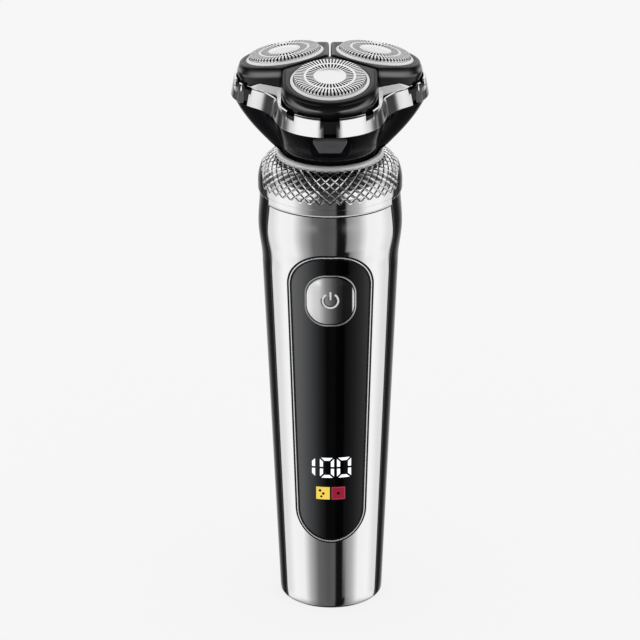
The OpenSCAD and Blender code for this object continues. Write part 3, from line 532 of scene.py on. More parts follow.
# ---------------------------------------------------------------- finishes
def principled(name, tone, rough, metal=0.0, spec=0.5, coat_rough=0.03, cloud=(60, 0.02, 0.03), grain=None):
    """A finish: a soft noise of (scale, spread, tone) lets roughness and colour drift, and a fine noise
    of (scale, height) gives the skin of the moulding. Noise scales are per metre."""
    material = bpy.data.materials.new(name)
    material.use_nodes = True
    tree = material.node_tree
    scale, spread, drift = cloud
    place = object_place(tree)
    noise = add_node(tree, "TexNoise", {"Scale": scale, "Detail": 4, "Vector": place}).outputs["Fac"]
    roughness = add_node(tree, "MapRange", {"To Min": max(rough - spread, 0.01), "To Max": rough + spread,
                                            "Value": noise}).outputs["Result"]
    color = blend(tree, noise, rgba(tone, 1 - drift), rgba(tone, 1 + drift))
    inputs = {"Metallic": metal, "Specular IOR Level": spec, "Coat Roughness": coat_rough,
              "Roughness": roughness, "Base Color": color}
    if grain:
        size, height = grain
        fine = add_node(tree, "TexNoise", {"Scale": size, "Detail": 3, "Vector": place}).outputs["Fac"]
        inputs["Normal"] = add_node(tree, "Bump", {"Strength": 1.0, "Distance": height,
                                                   "Height": fine}).outputs["Normal"]
    return set_surface(material, inputs)


def across(material, stops):
    """Paints a reflection into a finish: a tone that changes from left to right, from (X in mm, grey level or
    colour) pairs.
    """
    tree = material.node_tree
    x = add_node(tree, "SeparateXYZ", {"Vector": object_place(tree)}).outputs["X"]
    start, end = stops[0][0], stops[-1][0]
    share = add_node(tree, "MapRange", {"From Min": start * MM, "From Max": end * MM, "Value": x}).outputs["Result"]
    return set_surface(material, {"Base Color": ramp(
        tree, share, [((at - start) / (end - start), tone) for at, tone in stops])})


def lit(name, color, strength):
    """A glowing sign behind the panel, with a slightly uneven surface."""
    return set_surface(principled(name, [c * 0.4 for c in color], 0.4),
                       {"Emission Color": rgba(color), "Emission Strength": strength})


SATIN_GRAIN, SEAL_GRAIN = (9000, 0.00001), (5000, 0.00001)
SATIN_CLOUD, METAL_CLOUD = (200, 0.05, 0.1), (200, 0.06, 0.06)

silver = principled("polished_silver", (0.90, 0.90, 0.905), 0.09, metal=1.0, cloud=(35, 0.015, 0.02))
knurl_silver = principled("knurled_silver", (0.90, 0.90, 0.905), 0.07, metal=1.0, cloud=(80, 0.02, 0.02))
bead_silver = principled("bead_silver", 0.93, 0.25, metal=0.25, cloud=(120, 0.03, 0.02))
trim_silver = principled("trim_silver", (0.94, 0.94, 0.945), 0.12, metal=0.45, cloud=(120, 0.01, 0.01))
# painted reflection: the button ring's silver is painted lighter and darker in bands from left to right
ring_silver_painted_reflection = across(
    principled("ring_silver_painted_reflection", (0.5, 0.5, 0.505), 0.15, metal=0.45, cloud=(120, 0.01, 0.01)),
    [(-7.6, 0.34), (-5.5, 0.40), (-2.0, 0.72), (1.5, 0.34), (5.0, 0.46), (7.6, 0.60)])
# painted reflection: the button is painted white on the left, fading through grey to near black on the right, with
# a bright band at the right edge
button_silver = across(
    principled("button_silver", (0.86, 0.86, 0.87), 0.18, metal=0.35, spec=0.1, cloud=(150, 0.03, 0.03)),
    [(-6.6, 1.0), (-3.4, 0.98), (-1.4, (0.42, 0.42, 0.43)), (0.6, 0.17), (2.2, 0.05), (3.8, 0.012), (6.35, 0.012),
     (6.65, 0.85)])
hood_black = principled("hood_black", (0.004, 0.004, 0.005), 0.14, spec=0.02, cloud=(30, 0.03, 0.15))
black_gloss = principled("black_gloss", (0.006, 0.006, 0.007), 0.12, spec=0.25, cloud=(30, 0.02, 0.15))
rear_gloss = principled("rear_gloss", (0.008, 0.008, 0.009), 0.16, cloud=(40, 0.03, 0.15))
black_satin = principled("black_satin", (0.022, 0.022, 0.025), 0.42, cloud=SATIN_CLOUD, grain=SATIN_GRAIN)
carrier_black = principled("carrier_black", (0.008, 0.008, 0.009), 0.42, spec=0.28, cloud=SATIN_CLOUD,
                           grain=SATIN_GRAIN)
dull_black = principled("dull_black", 0.004, 0.5, spec=0.0, cloud=SATIN_CLOUD)
# painted shadow: flat black for the strips beside the panel's bright line and under the shoulder's edge; the same
# black prints the icons' dots
shadow_line = principled("shadow_line", 0.004, 0.5, spec=0.2, cloud=SATIN_CLOUD)
# painted reflection: the dark window is painted grey at its left edge, black through the middle and a little
# lighter at its right edge
panel_black = across(
    principled("panel_black", (0.004, 0.004, 0.005), 0.05, spec=0.2, cloud=(20, 0.01, 0.1)),
    [(-11.5, (0.130, 0.131, 0.134)), (-8.5, (0.100, 0.101, 0.103)), (-5.5, (0.052, 0.054, 0.056)),
     (-3.2, (0.018, 0.020, 0.021)), (-1.2, 0.002), (5.0, 0.001), (9.5, 0.012), (11.5, 0.030)])
# painted shade and painted highlight: the power sign's rim is painted dark and its line white, for the shade and
# light on a cut-in sign
sign_rim_painted_shade = principled("sign_rim_painted_shade_grey", (0.012, 0.012, 0.013), 0.4)
sign_line_painted_highlight = principled("sign_line_painted_highlight", 0.86, 0.35)
release_grey = principled("release_grey", (0.085, 0.086, 0.09), 0.36, cloud=(150, 0.04, 0.1),
                          grain=(7000, 0.00001))
pod_satin = principled("pod_satin", (0.060, 0.061, 0.064), 0.5, cloud=(250, 0.06, 0.12), grain=(5000, 0.00003))
ring_grey = principled("ring_grey", 0.93, 0.3, metal=0.1, cloud=(150, 0.04, 0.05))
# painted shade: the cutters' steel is darkened so that the slots over them look dark
cutter_steel = principled("cutter_steel", (0.14, 0.14, 0.145), 0.32, metal=1.0, cloud=(300, 0.06, 0.06))
inner_steel = principled("inner_steel", (0.55, 0.56, 0.58), 0.35, metal=1.0, cloud=METAL_CLOUD)
acetal = principled("acetal", (0.80, 0.77, 0.66), 0.42, cloud=(120, 0.05, 0.04))
inner_plastic = principled("inner_plastic", (0.05, 0.053, 0.06), 0.5, cloud=(150, 0.05, 0.1))
board_green = principled("board_green", (0.02, 0.14, 0.07), 0.35, cloud=(400, 0.05, 0.2))
board_dark = principled("board_dark", (0.03, 0.03, 0.035), 0.4, cloud=(400, 0.05, 0.2))
cell_wrap = principled("cell_wrap", (0.05, 0.22, 0.45), 0.3, cloud=(60, 0.04, 0.05))
contact_brass = principled("contact_brass", (0.72, 0.60, 0.30), 0.3, metal=1.0, cloud=(200, 0.05, 0.06))
rubber = principled("seal_rubber", 0.012, 0.65, cloud=(300, 0.06, 0.2), grain=SEAL_GRAIN)
digit_white = lit("digit_white", (0.92, 0.95, 1.0), 1.0)
icon_amber = lit("icon_amber", (0.86, 0.62, 0.09), 0.8)
icon_red = lit("icon_red", (0.30, 0.004, 0.030), 0.75)
icon_rim = lit("icon_rim", (0.42, 0.05, 0.09), 0.6)


def cutter_sockets(tree, direction):
    """Height and radius, in mm, of a point in a cutter's own tilted frame: the height is a dot product
    with the cutter's axis, the radius comes from the distance to its centre and the height."""
    centre, tip = to_cutter([[0, 0, 0], [0, 0, 1]], direction)
    place = vector(tree, "SUBTRACT", "Vector", object_place(tree), tuple(centre * MM))
    height = number(tree, "DIVIDE", vector(tree, "DOT_PRODUCT", "Value", place, tuple(tip - centre)), MM)
    reach = number(tree, "DIVIDE", vector(tree, "LENGTH", "Value", place), MM)
    square = number(tree, "SUBTRACT", number(tree, "MULTIPLY", reach, reach),
                    number(tree, "MULTIPLY", height, height))
    return height, number(tree, "SQRT", square)


def cap_finish(direction):
    """Bright steel on a cap's outer face, and painted shade in its slots: the slot walls and the inner face
    are painted near black. A point is bright where it lies above a limit that drops in the middle and past
    the edge's radius, or where it lies on the rim."""
    material = principled(f"cap_steel_{direction}", 0.95, 0.18, metal=0.55, spec=0.2, cloud=(400, 0.05, 0.03),
                          grain=(6000, 0.000004))
    tree = material.node_tree
    middle_r, middle_drop, edge_slope, face_low, rim_r = 4.5, 0.3, 0.95, -0.06, 10.42
    height, radius = cutter_sockets(tree, direction)
    over_edge = number(tree, "MAXIMUM", number(tree, "SUBTRACT", radius, CAP_EDGE_R), 0.0)
    middle = number(tree, "MULTIPLY", number(tree, "LESS_THAN", radius, middle_r), middle_drop)
    limit = number(tree, "SUBTRACT", number(tree, "SUBTRACT", face_low, middle),
                   number(tree, "MULTIPLY", over_edge, edge_slope))
    bright = number(tree, "MAXIMUM", number(tree, "GREATER_THAN", height, limit),
                    number(tree, "GREATER_THAN", radius, rim_r))
    # painted shade: near black under the limit, off the rim
    return set_surface(material, {"Base Color": blend(tree, bright, rgba(0.002), rgba(0.95))})


def pod_finish(direction):
    """Black moulding, glossiest along the ridge round the pod's wall, 3.6 mm under the cap's face."""
    material = principled(f"pod_black_{direction}", (0.004, 0.004, 0.0045), 0.2, spec=0.22, coat_rough=0.16,
                          cloud=(90, 0.04, 0.12))
    tree = material.node_tree
    ridge_depth, fade_out, fade_in = 3.6, 1.25, 0.2
    height, _ = cutter_sockets(tree, direction)
    off = number(tree, "ABSOLUTE", number(tree, "ADD", height, ridge_depth))
    return set_surface(material, {"Coat IOR": 2.3, "Coat Weight": smooth_step(tree, off, fade_out, fade_in)})


# ---------------------------------------------------------------- handle: shells, shoulder and collar
SEAM_GAP = 0.004
RIM_Z = SHELL_H + RIM_H


def stack(*parts):
    """One array from several arrays or numbers."""
    return np.concatenate([np.atleast_1d(p) for p in parts])


foot_steps = FOOT_ROUND * np.array([0, 0.04, 0.15, 0.35, 0.65, 1])
shell_z = stack(foot_steps, np.linspace(4, 110, 44), np.linspace(111, SHELL_H - 0.7, 40))
front_z = stack(shell_z, SHELL_H - 0.5, SHELL_H - 0.3, SHELL_H - 0.12, SHELL_H)
front_r = skin_r(front_z) - foot_cut(front_z)
front_r[-4:] -= [0.0, 0.04, 0.14, 0.34]
opening, _ = squircle_line(BUTTON_W + 0.8, BUTTON_H + 1.3, BUTTON_ROUND + 0.6, BUTTON_Z)
opening = loft([np.stack([opening[:, 0], y + 0 * opening[:, 0], opening[:, 1]], -1) for y in (-12.0, -26.0)])
front_wall = slab(front_z, front_r, 0.0, split_angle(front_z) - SEAM_GAP, 200, 0.18)
piece("front_skin", [carve(front_wall, [], [opening])], silver, "handle", ["front_shell"])

wing_z = SHELL_H + WING_H * np.sin(np.linspace(0, np.pi / 2, 26))
rear_z = stack(shell_z, SHELL_H, wing_z)
rear_r = stack(skin_r(shell_z) - foot_cut(shell_z), skin_r(SHELL_H), shoulder_r(wing_z) + 0.16)
rear_r[-1] -= 0.12
rear_half = np.pi - stack(split_angle(shell_z), split_angle(SHELL_H), wing_angle(wing_z)) - SEAM_GAP
piece("rear_skin", [slab(rear_z, rear_r, np.pi, rear_half, 240, 0.22)], rear_gloss, "handle",
      ["rear_shell"])

KNURLS, KNURL_ROWS, KNURL_FINE, KNURL_DEPTH = 44, 4.25, 20, 0.3


def arc_share(share):
    """The shoulder's ellipse parameter at a share of its arc length."""
    t = np.linspace(0, np.pi / 2, 400)
    r, z = NECK_R + (RIM_R - NECK_R) * np.cos(t), (NECK_Z - RIM_Z) * np.sin(t)
    length = np.concatenate([[0], np.cumsum(np.hypot(np.diff(r), np.diff(z)))])
    return np.interp(share * length[-1], length, t)


def knurled_shoulder():
    """The shoulder as one ring: a smooth rim, then diamonds between two families of V grooves.

    With u the turns counted in knurls and v the arc length counted in rows, a groove runs where
    u + v or u - v is a whole number, and the pad between rises as a straight slope up to a flat top."""
    a = np.linspace(0, 360, KNURLS * KNURL_FINE, endpoint=False)
    share = np.linspace(0, 1, int(KNURL_ROWS * KNURL_FINE) + 1)[:, None]
    t = arc_share(share)
    u, v = np.arange(a.size) / KNURL_FINE, share * KNURL_ROWS
    d = np.minimum(np.abs((u + v + 0.5) % 1 - 0.5), np.abs((u - v + 0.5) % 1 - 0.5))
    calm = np.clip(v / 0.12, 0, 1) * np.clip((1 - share) * KNURL_ROWS / 0.2, 0, 1)
    sink = KNURL_DEPTH * (1 - np.clip(d / 0.15, 0, 1)) * calm
    r = NECK_R + (RIM_R - NECK_R) * np.cos(t) - sink * np.cos(t)
    z = RIM_Z + (NECK_Z - RIM_Z) * np.sin(t) - sink * np.sin(t)
    foot, bore = SHELL_H + 0.1, 15.0
    loops = [around(SEAM_R - 1.6, foot, a), around(shoulder_r(foot) - 0.3, foot, a)]
    loops += [around(shoulder_r(foot + up), foot + up, a) for up in (0.1, 0.25, 0.5, 0.8, 1.2, 1.8, 2.4)]
    loops += list(around(r, z, a))
    loops += [around(NECK_R - 0.15, NECK_Z, a), around(bore, NECK_Z, a), around(bore, NECK_Z - 1.4, a),
              around(RIM_R - 2.2, RIM_Z, a)]
    return loft(loops, ring=True)


piece("knurled_shoulder", [knurled_shoulder()], knurl_silver, "handle",
      ["knurled_collar"], sharp_deg=50)


# ---------------------------------------------------------------- the shoulder's skirt and its bright edge
def skirt_ring(name, rows, material):
    """A thin ring over the front shell only, from (drop under the shell's top, radius) pairs, each set
    at its height and swept between the two side seams."""
    drop, r = np.array(rows).T
    reach = float(split_angle(SHELL_H - 0.6)) - 0.02
    a = np.linspace(-reach, reach, 160)[:, None] - np.pi / 2
    piece(name, [loft(polar(r, SHELL_H - drop, a))], material, "handle", sharp_deg=40)


skirt_ring("shoulder_skirt", [(-1.6, RIM_R - 0.5), (-1.16, RIM_R - 0.02), (-1.12, RIM_R + 0.01),
                              (-1.07, RIM_R + 0.015), (-0.4, RIM_R + 0.015), (0.7, RIM_R + 0.015),
                              (0.75, RIM_R - 0.3), (0.75, SEAM_R - 0.4), (0.0, SEAM_R - 0.5)], silver)
skirt_ring("seam_bright_line", [(0.68, RIM_R - 0.25), (0.68, RIM_R + 0.07), (0.74, RIM_R + 0.12),
                                (0.92, RIM_R + 0.12), (0.98, RIM_R + 0.05), (0.98, RIM_R - 0.25)], bead_silver)
skirt_ring("seam_dark_line", [(0.9, SEAM_R - 0.4), (0.9, SEAM_R + 0.10), (1.45, SEAM_R + 0.10),
                              (1.45, SEAM_R - 0.4)], shadow_line)

# ---------------------------------------------------------------- panel, its bright line and the button
piece("panel_window", [plate(*panel_line(-0.40), 0.10, 0.9, edge=0.12)], panel_black, "handle",
      ["display_panel"])
line_profile = [(0.08, -0.7), (0.08, 0.12), (0.12, 0.23), (0.19, 0.28), (0.30, 0.28), (0.37, 0.23),
                (0.41, 0.12), (0.41, -0.7)]
piece("panel_bright_line", [sweep_ring(*panel_line(), line_profile)], trim_silver, "handle",
      ["panel_trim"])
groove_profile = [(0.36, -0.3), (0.36, 0.04), (0.95, 0.04), (0.95, -0.3)]
piece("panel_shadow_line", [sweep_ring(*panel_line(), groove_profile)], shadow_line, "handle")
inner_profile = [(-0.42, -0.3), (-0.42, 0.13), (0.12, 0.13), (0.12, -0.3)]
piece("panel_inner_line", [sweep_ring(*panel_line(), inner_profile)], shadow_line, "handle")

bezel_profile = [(-0.44, -1.8), (-0.44, 0.22), (-0.38, 0.34), (-0.30, 0.40), (-0.16, 0.40),
                 (-0.06, 0.34), (0.0, 0.2), (0.0, -1.8)]
piece("button_ring", [sweep_ring(*squircle_line(BEZEL_W, BEZEL_H, BUTTON_ROUND + 0.8, BUTTON_Z), bezel_profile)],
      ring_silver_painted_reflection, "handle", ["button_bezel"])
BUTTON_LIFT, BUTTON_BOW, BOW_R = 0.5, 0.75, 6.6
button_line = squircle_line(BUTTON_W + 0.5, BUTTON_H + 1.0, BUTTON_ROUND + 0.5, BUTTON_Z)
piece("button_face", [plate(*button_line, BUTTON_LIFT, 2.0, edge=0.42, bow=BUTTON_BOW, steps=18)], button_silver,
      "power_button", ["power_button"])


# ---------------------------------------------------------------- marks on the handle's front
def on_button(x, z, rise):
    """The point of the button's crowned face at (x, z), moved outward by rise."""
    share = (x ** 2 + (z - BUTTON_Z) ** 2) / BOW_R ** 2
    return on_skin(x, z, BUTTON_LIFT + BUTTON_BOW * (1 - share) + rise)


def raised(a, b, low, high, surface=on_skin):
    """A closed strip between two lines of (x, z) points, from one height above a surface to another."""
    return loft(np.stack([surface(*a.T, low), surface(*a.T, high), surface(*b.T, high), surface(*b.T, low)], 1))


MARK_DEPTH = 0.05
SIGN_Z, SIGN_R = BUTTON_Z + 0.5, 2.3


def button_sign(w, rise, name, material):
    """The power sign: an open ring and a bar of width w, standing a hair above the button."""
    a = np.radians(np.linspace(124, 416, 60))
    turns = np.stack([np.cos(a), np.sin(a)], -1)
    z = np.linspace(SIGN_Z + 0.3, SIGN_Z + 2.8, 8)
    ring = [[0, SIGN_Z] + (SIGN_R + half) * turns for half in (-w / 2, w / 2)]
    stem = [np.stack([half + 0 * z, z], -1) for half in (-w / 2, w / 2)]
    piece(name, [raised(*edges, -0.2, rise, on_button) for edges in (ring, stem)], material, "power_button",
          sharp_deg=30)


# the sign's dark rim is painted shade and its white line a painted highlight
button_sign(1.15, 0.03, "button_sign_rim", sign_rim_painted_shade)
button_sign(0.56, 0.06, "button_sign_line", sign_line_painted_highlight)


def span_mark(quad, lift, n=9):
    """A four-cornered mark cut across into short spans, so that it follows the skin's curve."""
    q = np.asarray(quad, float)[:, None]
    t = np.linspace(0, 1, n)[:, None]
    return raised(q[0] * (1 - t) + q[3] * t, q[1] * (1 - t) + q[2] * t, lift - MARK_DEPTH, lift)


def bar(x0, x1, z0, z1, lift, n=6):
    """A rectangular mark on the skin."""
    return span_mark([(x0, z0), (x0, z1), (x1, z1), (x1, z0)], lift, n)


def disc_mark(cx, cz, r, lift, n=20):
    """A round mark on the skin."""
    a = circle(n)
    x, z = cx + r * np.cos(a), cz + r * np.sin(a)
    return loft([on_skin(x, z, lift - MARK_DEPTH), on_skin(x, z, lift)])


# ---------------------------------------------------------------- charge sign: seven-segment digits and two icons
LIFT = 0.16
DIGIT_Z0, DIGIT_Z1 = 45.4, 52.1
BAR_W, MITRE, BAR_GAP = 0.93, 0.42, 0.34
SEGMENTS = {"0": "abcdef", "1": "bc"}


def segment(kind, x0, x1):
    """Corners of one mitred bar of a seven-segment digit between x0 and x1."""
    z0, z1, zm = DIGIT_Z0, DIGIT_Z1, (DIGIT_Z0 + DIGIT_Z1) / 2
    w, g, h = BAR_W, MITRE, BAR_GAP
    return {"a": [(x0 + g, z1), (x0 + w + g, z1 - w), (x1 - w - g, z1 - w), (x1 - g, z1)],
            "d": [(x0 + g, z0), (x0 + w + g, z0 + w), (x1 - w - g, z0 + w), (x1 - g, z0)],
            "b": [(x1, zm + h), (x1, z1 - g), (x1 - w, z1 - w - g), (x1 - w, zm + h)],
            "c": [(x1, z0 + g), (x1, zm - h), (x1 - w, zm - h), (x1 - w, z0 + w + g)],
            "e": [(x0, z0 + g), (x0 + w, z0 + w + g), (x0 + w, zm - h), (x0, zm - h)],
            "f": [(x0, zm + h), (x0 + w, zm + h), (x0 + w, z1 - w - g), (x0, z1 - g)]}[kind]


digits = [span_mark(segment(kind, x0, x1), LIFT)
          for char, x0, x1 in (("1", -6.9, -4.75), ("0", -3.3, 0.95), ("0", 1.85, 6.1))
          for kind in SEGMENTS[char]]
piece("charge_digits", digits, digit_white, "handle", sharp_deg=20)

ICON_Z0, ICON_Z1 = 38.0, 42.2
RED_X0, RED_X1, RED_EDGE = 0.2, 4.3, 0.25
DOT_LIFT, RIM_LIFT = LIFT + 0.04, LIFT + 0.03
piece("amber_sign", [bar(-4.45, -0.35, ICON_Z0, ICON_Z1, LIFT)], icon_amber, "handle",
      sharp_deg=20)
piece("amber_dots", [disc_mark(x, z, r, DOT_LIFT) for x, z, r in
                     ((-3.3, 41.0, 0.42), (-2.3, 40.0, 0.42), (-2.9, 39.0, 0.35))],
      shadow_line, "handle")
piece("red_sign", [bar(RED_X0, RED_X1, ICON_Z0, ICON_Z1, LIFT)], icon_red, "handle", sharp_deg=20)
low, high = ICON_Z0 + RED_EDGE, ICON_Z1 - RED_EDGE
piece("red_rim", [bar(RED_X0, RED_X1, high, ICON_Z1, RIM_LIFT), bar(RED_X0, RED_X1, ICON_Z0, low, RIM_LIFT),
                  bar(RED_X0, RED_X0 + RED_EDGE, low, high, RIM_LIFT, 2),
                  bar(RED_X1 - RED_EDGE, RED_X1, low, high, RIM_LIFT, 2)],
      icon_rim, "handle", sharp_deg=20)
piece("red_mark", [disc_mark(2.25, 40.1, 0.5, DOT_LIFT)], shadow_line, "handle")


# ---------------------------------------------------------------- head: housing, band and release button
DECK_Z = BAND_Z - 0.7
CHAMBER_Z = DECK_Z - 3.0
GEAR_C = 14.7
FACE_Y, FACE_Z, FACE_SLOPE = -27.45, HOOD_TOP - 3.85, math.radians(39.6)
RELEASE_LOW, RELEASE_TOP, RELEASE_LEN = 6.5, 10.4, 6.75
HINGE_Y, HINGE_Z = 23.4, NECK_Z + 15.35
HOOD_ROUND = 0.35
EAR_W, EAR_X = 3.0, (-6.6, 3.6)


def tube(r, z0, z1, n=96, centre=(0, 0)):
    """A closed cylinder along Z."""
    return loft([polar(r, z, circle(n)) + [*centre, 0] for z in (z0, z1)])


def tubes_at_cutters(r, z0, z1, n=96):
    """One closed cylinder under each cutter."""
    return [tube(r, z0, z1, n, around(GEAR_C, 0, a)[:2]) for a in DIRS.values()]


def block(x0, x1, y0, y1, z0, z1):
    """A closed box."""
    return loft([[(x0, y0, z), (x1, y0, z), (x1, y1, z), (x0, y1, z)] for z in (z0, z1)])


def rod(r, x0, x1, y, z, n=40):
    """A closed cylinder along X."""
    a = circle(n)
    return loft([np.stack([0 * a + x, y + r * np.cos(a), z + r * np.sin(a)], -1) for x in (x0, x1)])


def lobed_prism(lobe_r, waist, z0, z1, n=360):
    """A closed prism over the lobed plan."""
    a = np.linspace(0, 360, n, endpoint=False)
    return loft([around(plan_r(LOBE_C, lobe_r, waist, a), z, a) for z in (z0, z1)])


def on_face(points):
    """Points in the release face's frame (across, up the slope, out) to the row frame."""
    p = np.asarray(points, float)
    c, s = math.cos(FACE_SLOPE), math.sin(FACE_SLOPE)
    return np.stack([p[..., 0], FACE_Y - p[..., 1] * s - p[..., 2] * c,
                     FACE_Z + p[..., 1] * c - p[..., 2] * s], -1)


def release_line(grow, tail=0.0, r=0.8, n=8):
    """The button's trapezoid, grown, each corner rounded by a curve with one control point."""
    h = RELEASE_LEN / 2 + grow
    low, top = RELEASE_LOW / 2 + grow, RELEASE_TOP / 2 + grow
    corners = np.array([[-low, -h - tail], [low, -h - tail], [top, h], [-top, h]])
    t = np.linspace(0, 1, n)[:, None]
    points = []
    for k in range(4):
        p, a, b = corners[k], corners[k - 1], corners[(k + 1) % 4]
        u, v = (a - p) / np.linalg.norm(a - p), (b - p) / np.linalg.norm(b - p)
        reach = r / math.tan(math.acos(float(u @ v)) / 2)
        points.append((1 - t) ** 2 * (p + u * reach) + 2 * t * (1 - t) * p + t ** 2 * (p + v * reach))
    return np.concatenate(points)


def prism(line, levels):
    """A closed prism on the release face; each level is (shrink towards the line's middle, height)."""
    inward = line - line.mean(axis=0)
    inward /= np.linalg.norm(inward, axis=1, keepdims=True)
    return loft([on_face(np.column_stack([line - inward * shrink, np.full(len(line), height)]))
                 for shrink, height in levels])


hood_a = np.linspace(0, 360, 360, endpoint=False)
hood_loops = [around(r, NECK_Z - drop, hood_a) for r, drop in
              ((11.9, 7.6), (12.2, 7.6), (SPIGOT_R, 7.2), (SPIGOT_R, 0.3))]
hood_loops += [hood_loop(share, 0.0, hood_a) for share in [0.0, *np.linspace(0.02, 0.975, 34)]]
hood_loops += [hood_loop(1.0, HOOD_ROUND * (1 - math.cos(t)), hood_a, HOOD_TOP - HOOD_ROUND * (1 - math.sin(t)))
               for t in np.linspace(0, np.pi / 2, 5)[1:]]
ears = []
for x in EAR_X:
    ears += [rod(1.5, x, x + EAR_W, HINGE_Y, HINGE_Z),
             block(x, x + EAR_W, 16, HINGE_Y, HINGE_Z - 1.5, HINGE_Z - 0.1)]
cuts = [lobed_prism(13.55, 18.55, DECK_Z, DECK_Z + 6), tube(8.55, CHAMBER_Z, CHAMBER_Z + 8),
        tube(11.2, NECK_Z - 8.6, NECK_Z + 4.0), tube(5.6, NECK_Z, CHAMBER_Z + 2),
        *tubes_at_cutters(10.05, CHAMBER_Z, CHAMBER_Z + 8),
        *tubes_at_cutters(1.5, CHAMBER_Z - 2.4, CHAMBER_Z + 1, 32),
        rod(0.82, -10, 10, HINGE_Y, HINGE_Z), prism(release_line(0.3), [(0, -2.0), (0, 6)]),
        prism(release_line(2.2, 0.9, r=1.4), [(0.5, -0.7), (0, -0.35), (0, 6)]),
        block(-2.4, 2.4, -27.5, -25.7, DECK_Z - 1.1, DECK_Z + 5)]
piece("head_funnel", [carve(loft(hood_loops), ears, cuts)], hood_black, "head_base",
      ["head_housing"], sharp_deg=32)

release_levels = [(0.25, -1.1), (0.0, -0.85), (0.0, 0.0), (0.08, 0.18), (0.28, 0.3), (0.6, 0.34)]
a = circle(16)
ridges = [loft([on_face(np.stack([0 * a + x, y + 0.26 * np.cos(a), 0.3 + 0.2 * np.sin(a)], -1))
                for x in (-1.7, -1.6, 1.6, 1.7)]) for y in (0.1, 1.2, 2.3)]
piece("release_key", [prism(release_line(0.0, r=0.9), release_levels)] + ridges, release_grey,
      "release_button", ["release_button"], sharp_deg=40)

BAND_H, LEDGE_MIN, LEDGE_MAX, LEDGE_FADE = 5.6, 0.8, 4.2, 0.9
CUT_Z = BAND_Z + BAND_H * 2 / 3
NOTCHES = [turn + side * 24.6 for turn in DIRS.values() for side in (-1, 1)]
NOTCH_HALF = 3.2


def ledge_depth(a, base):
    """Width of the band's top ledge: small along the lobes; at the waists it reaches in to the sides
    of the two pods, which stand at 30 degrees to the waist's direction."""
    off = 60 - np.abs(lobe_turn(a))
    inner = (POD_R + 0.7) / np.cos(np.radians(np.minimum(30 + off, 85)))
    return np.clip(base - inner, LEDGE_MIN, LEDGE_MAX)


def band_strip(start, end, cut_start, cut_end, n=260):
    """One stretch of the bright band between two angles: a wall that leans in, a rolled upper edge and
    a ledge that ends in an upright chamfer at the waists; its upper third stops short at a gap and at
    the notches."""
    a = np.concatenate([np.linspace(start, start + cut_start, 5),
                        np.linspace(start + cut_start, end - cut_end, n), np.linspace(end - cut_end, end, 5)])
    cut = (a < start + cut_start) | (a > end - cut_end)
    for turn in NOTCHES:
        cut |= np.abs((a - turn + 180) % 360 - 180) < NOTCH_HALF
    base = plan_r(LOBE_C, BAND_R, WAIST_BAND_R, a)
    depth = ledge_depth(a, base)[:, None]
    h = np.array([0, 0.1, 0.5, 1.4, 2.4, 3.4, 4.4, 5.0, 5.35, 5.54, BAND_H])
    lean = 1.05 * h / BAND_H - 0.5
    sink = np.array([0.1, 0, 0, 0, 0, 0, 0, 0.02, 0.08, 0.2, 0.34]) + lean
    rise = 1.45 * np.clip((depth - LEDGE_MIN) / LEDGE_FADE, 0, 1)
    base = base[:, None]
    flat = 0 * base
    inner = base - depth - 0.4
    r = np.concatenate([base - sink, np.minimum(inner + 1.05 * rise, base - 0.95), inner, inner, base - 0.98,
                        base - 0.58], 1)
    z = np.concatenate([BAND_Z + h + flat, BAND_TOP + 0.04 * rise, BAND_TOP + rise, BAND_TOP + rise - 0.7,
                        BAND_TOP - 1.1 + flat, BAND_Z + flat], 1)
    return loft(around(r, np.where(cut[:, None], np.minimum(z, CUT_Z), z), a[:, None]))


def side_gap(turn, half):
    """Polar angle and half width in degrees of a gap set round a rear lobe by an angle."""
    lobe, way = math.radians(30), math.radians(30 - turn)
    x = LOBE_C * math.cos(lobe) + BAND_R * math.cos(way)
    y = LOBE_C * math.sin(lobe) + BAND_R * math.sin(way)
    where = math.atan2(y, x)
    return math.degrees(where), math.degrees(half * math.cos(way - where) / math.hypot(x, y))


BAND_REACH, SIDE_TURN = 31, 72
front_low, front_cut = math.degrees(1.85 / BAND_REACH), math.degrees(1.0 / BAND_REACH)
gap_at, gap_low = side_gap(SIDE_TURN, 1.67)
gap_cut = side_gap(SIDE_TURN, 2.57)[1] - gap_low
strips = [band_strip(-90 + front_low, gap_at - gap_low, front_cut, gap_cut),
          band_strip(gap_at + gap_low, 180 - gap_at - gap_low, gap_cut, gap_cut, 600),
          band_strip(180 - gap_at + gap_low, 270 - front_low, gap_cut, front_cut)]
piece("bright_band", strips, silver, "head_frame", ["chrome_band"], sharp_deg=40)


def waist_lip(middle, n=90):
    """The light lip that stands on the band's ledge round a waist: a slope at 45 degrees that fades
    out along the two lobes."""
    a = np.linspace(middle - 25, middle + 25, n)
    base = plan_r(LOBE_C, BAND_R, WAIST_BAND_R, a)
    depth = ledge_depth(a, base)
    rise = (1.5 * np.clip((depth - LEDGE_MIN) / LEDGE_FADE, 0.06, 1))[:, None]
    inner = (base - depth - 0.4)[:, None]
    share = np.array([1.0, 0.94, 0.5, 0.06, 0.0, -0.1, -0.1, 0.9])
    climb = np.array([0.06, 0.16, 0.6, 1.0, 1.04, 0.98, 0.3, -0.25])
    return loft(around(inner + 1.05 * rise * share + 0.04, BAND_TOP + rise * climb + 0.03, a[:, None]))


piece("waist_lips", [waist_lip(middle) for middle in (90, 210, 330)], bead_silver, "head_frame",
      sharp_deg=45)


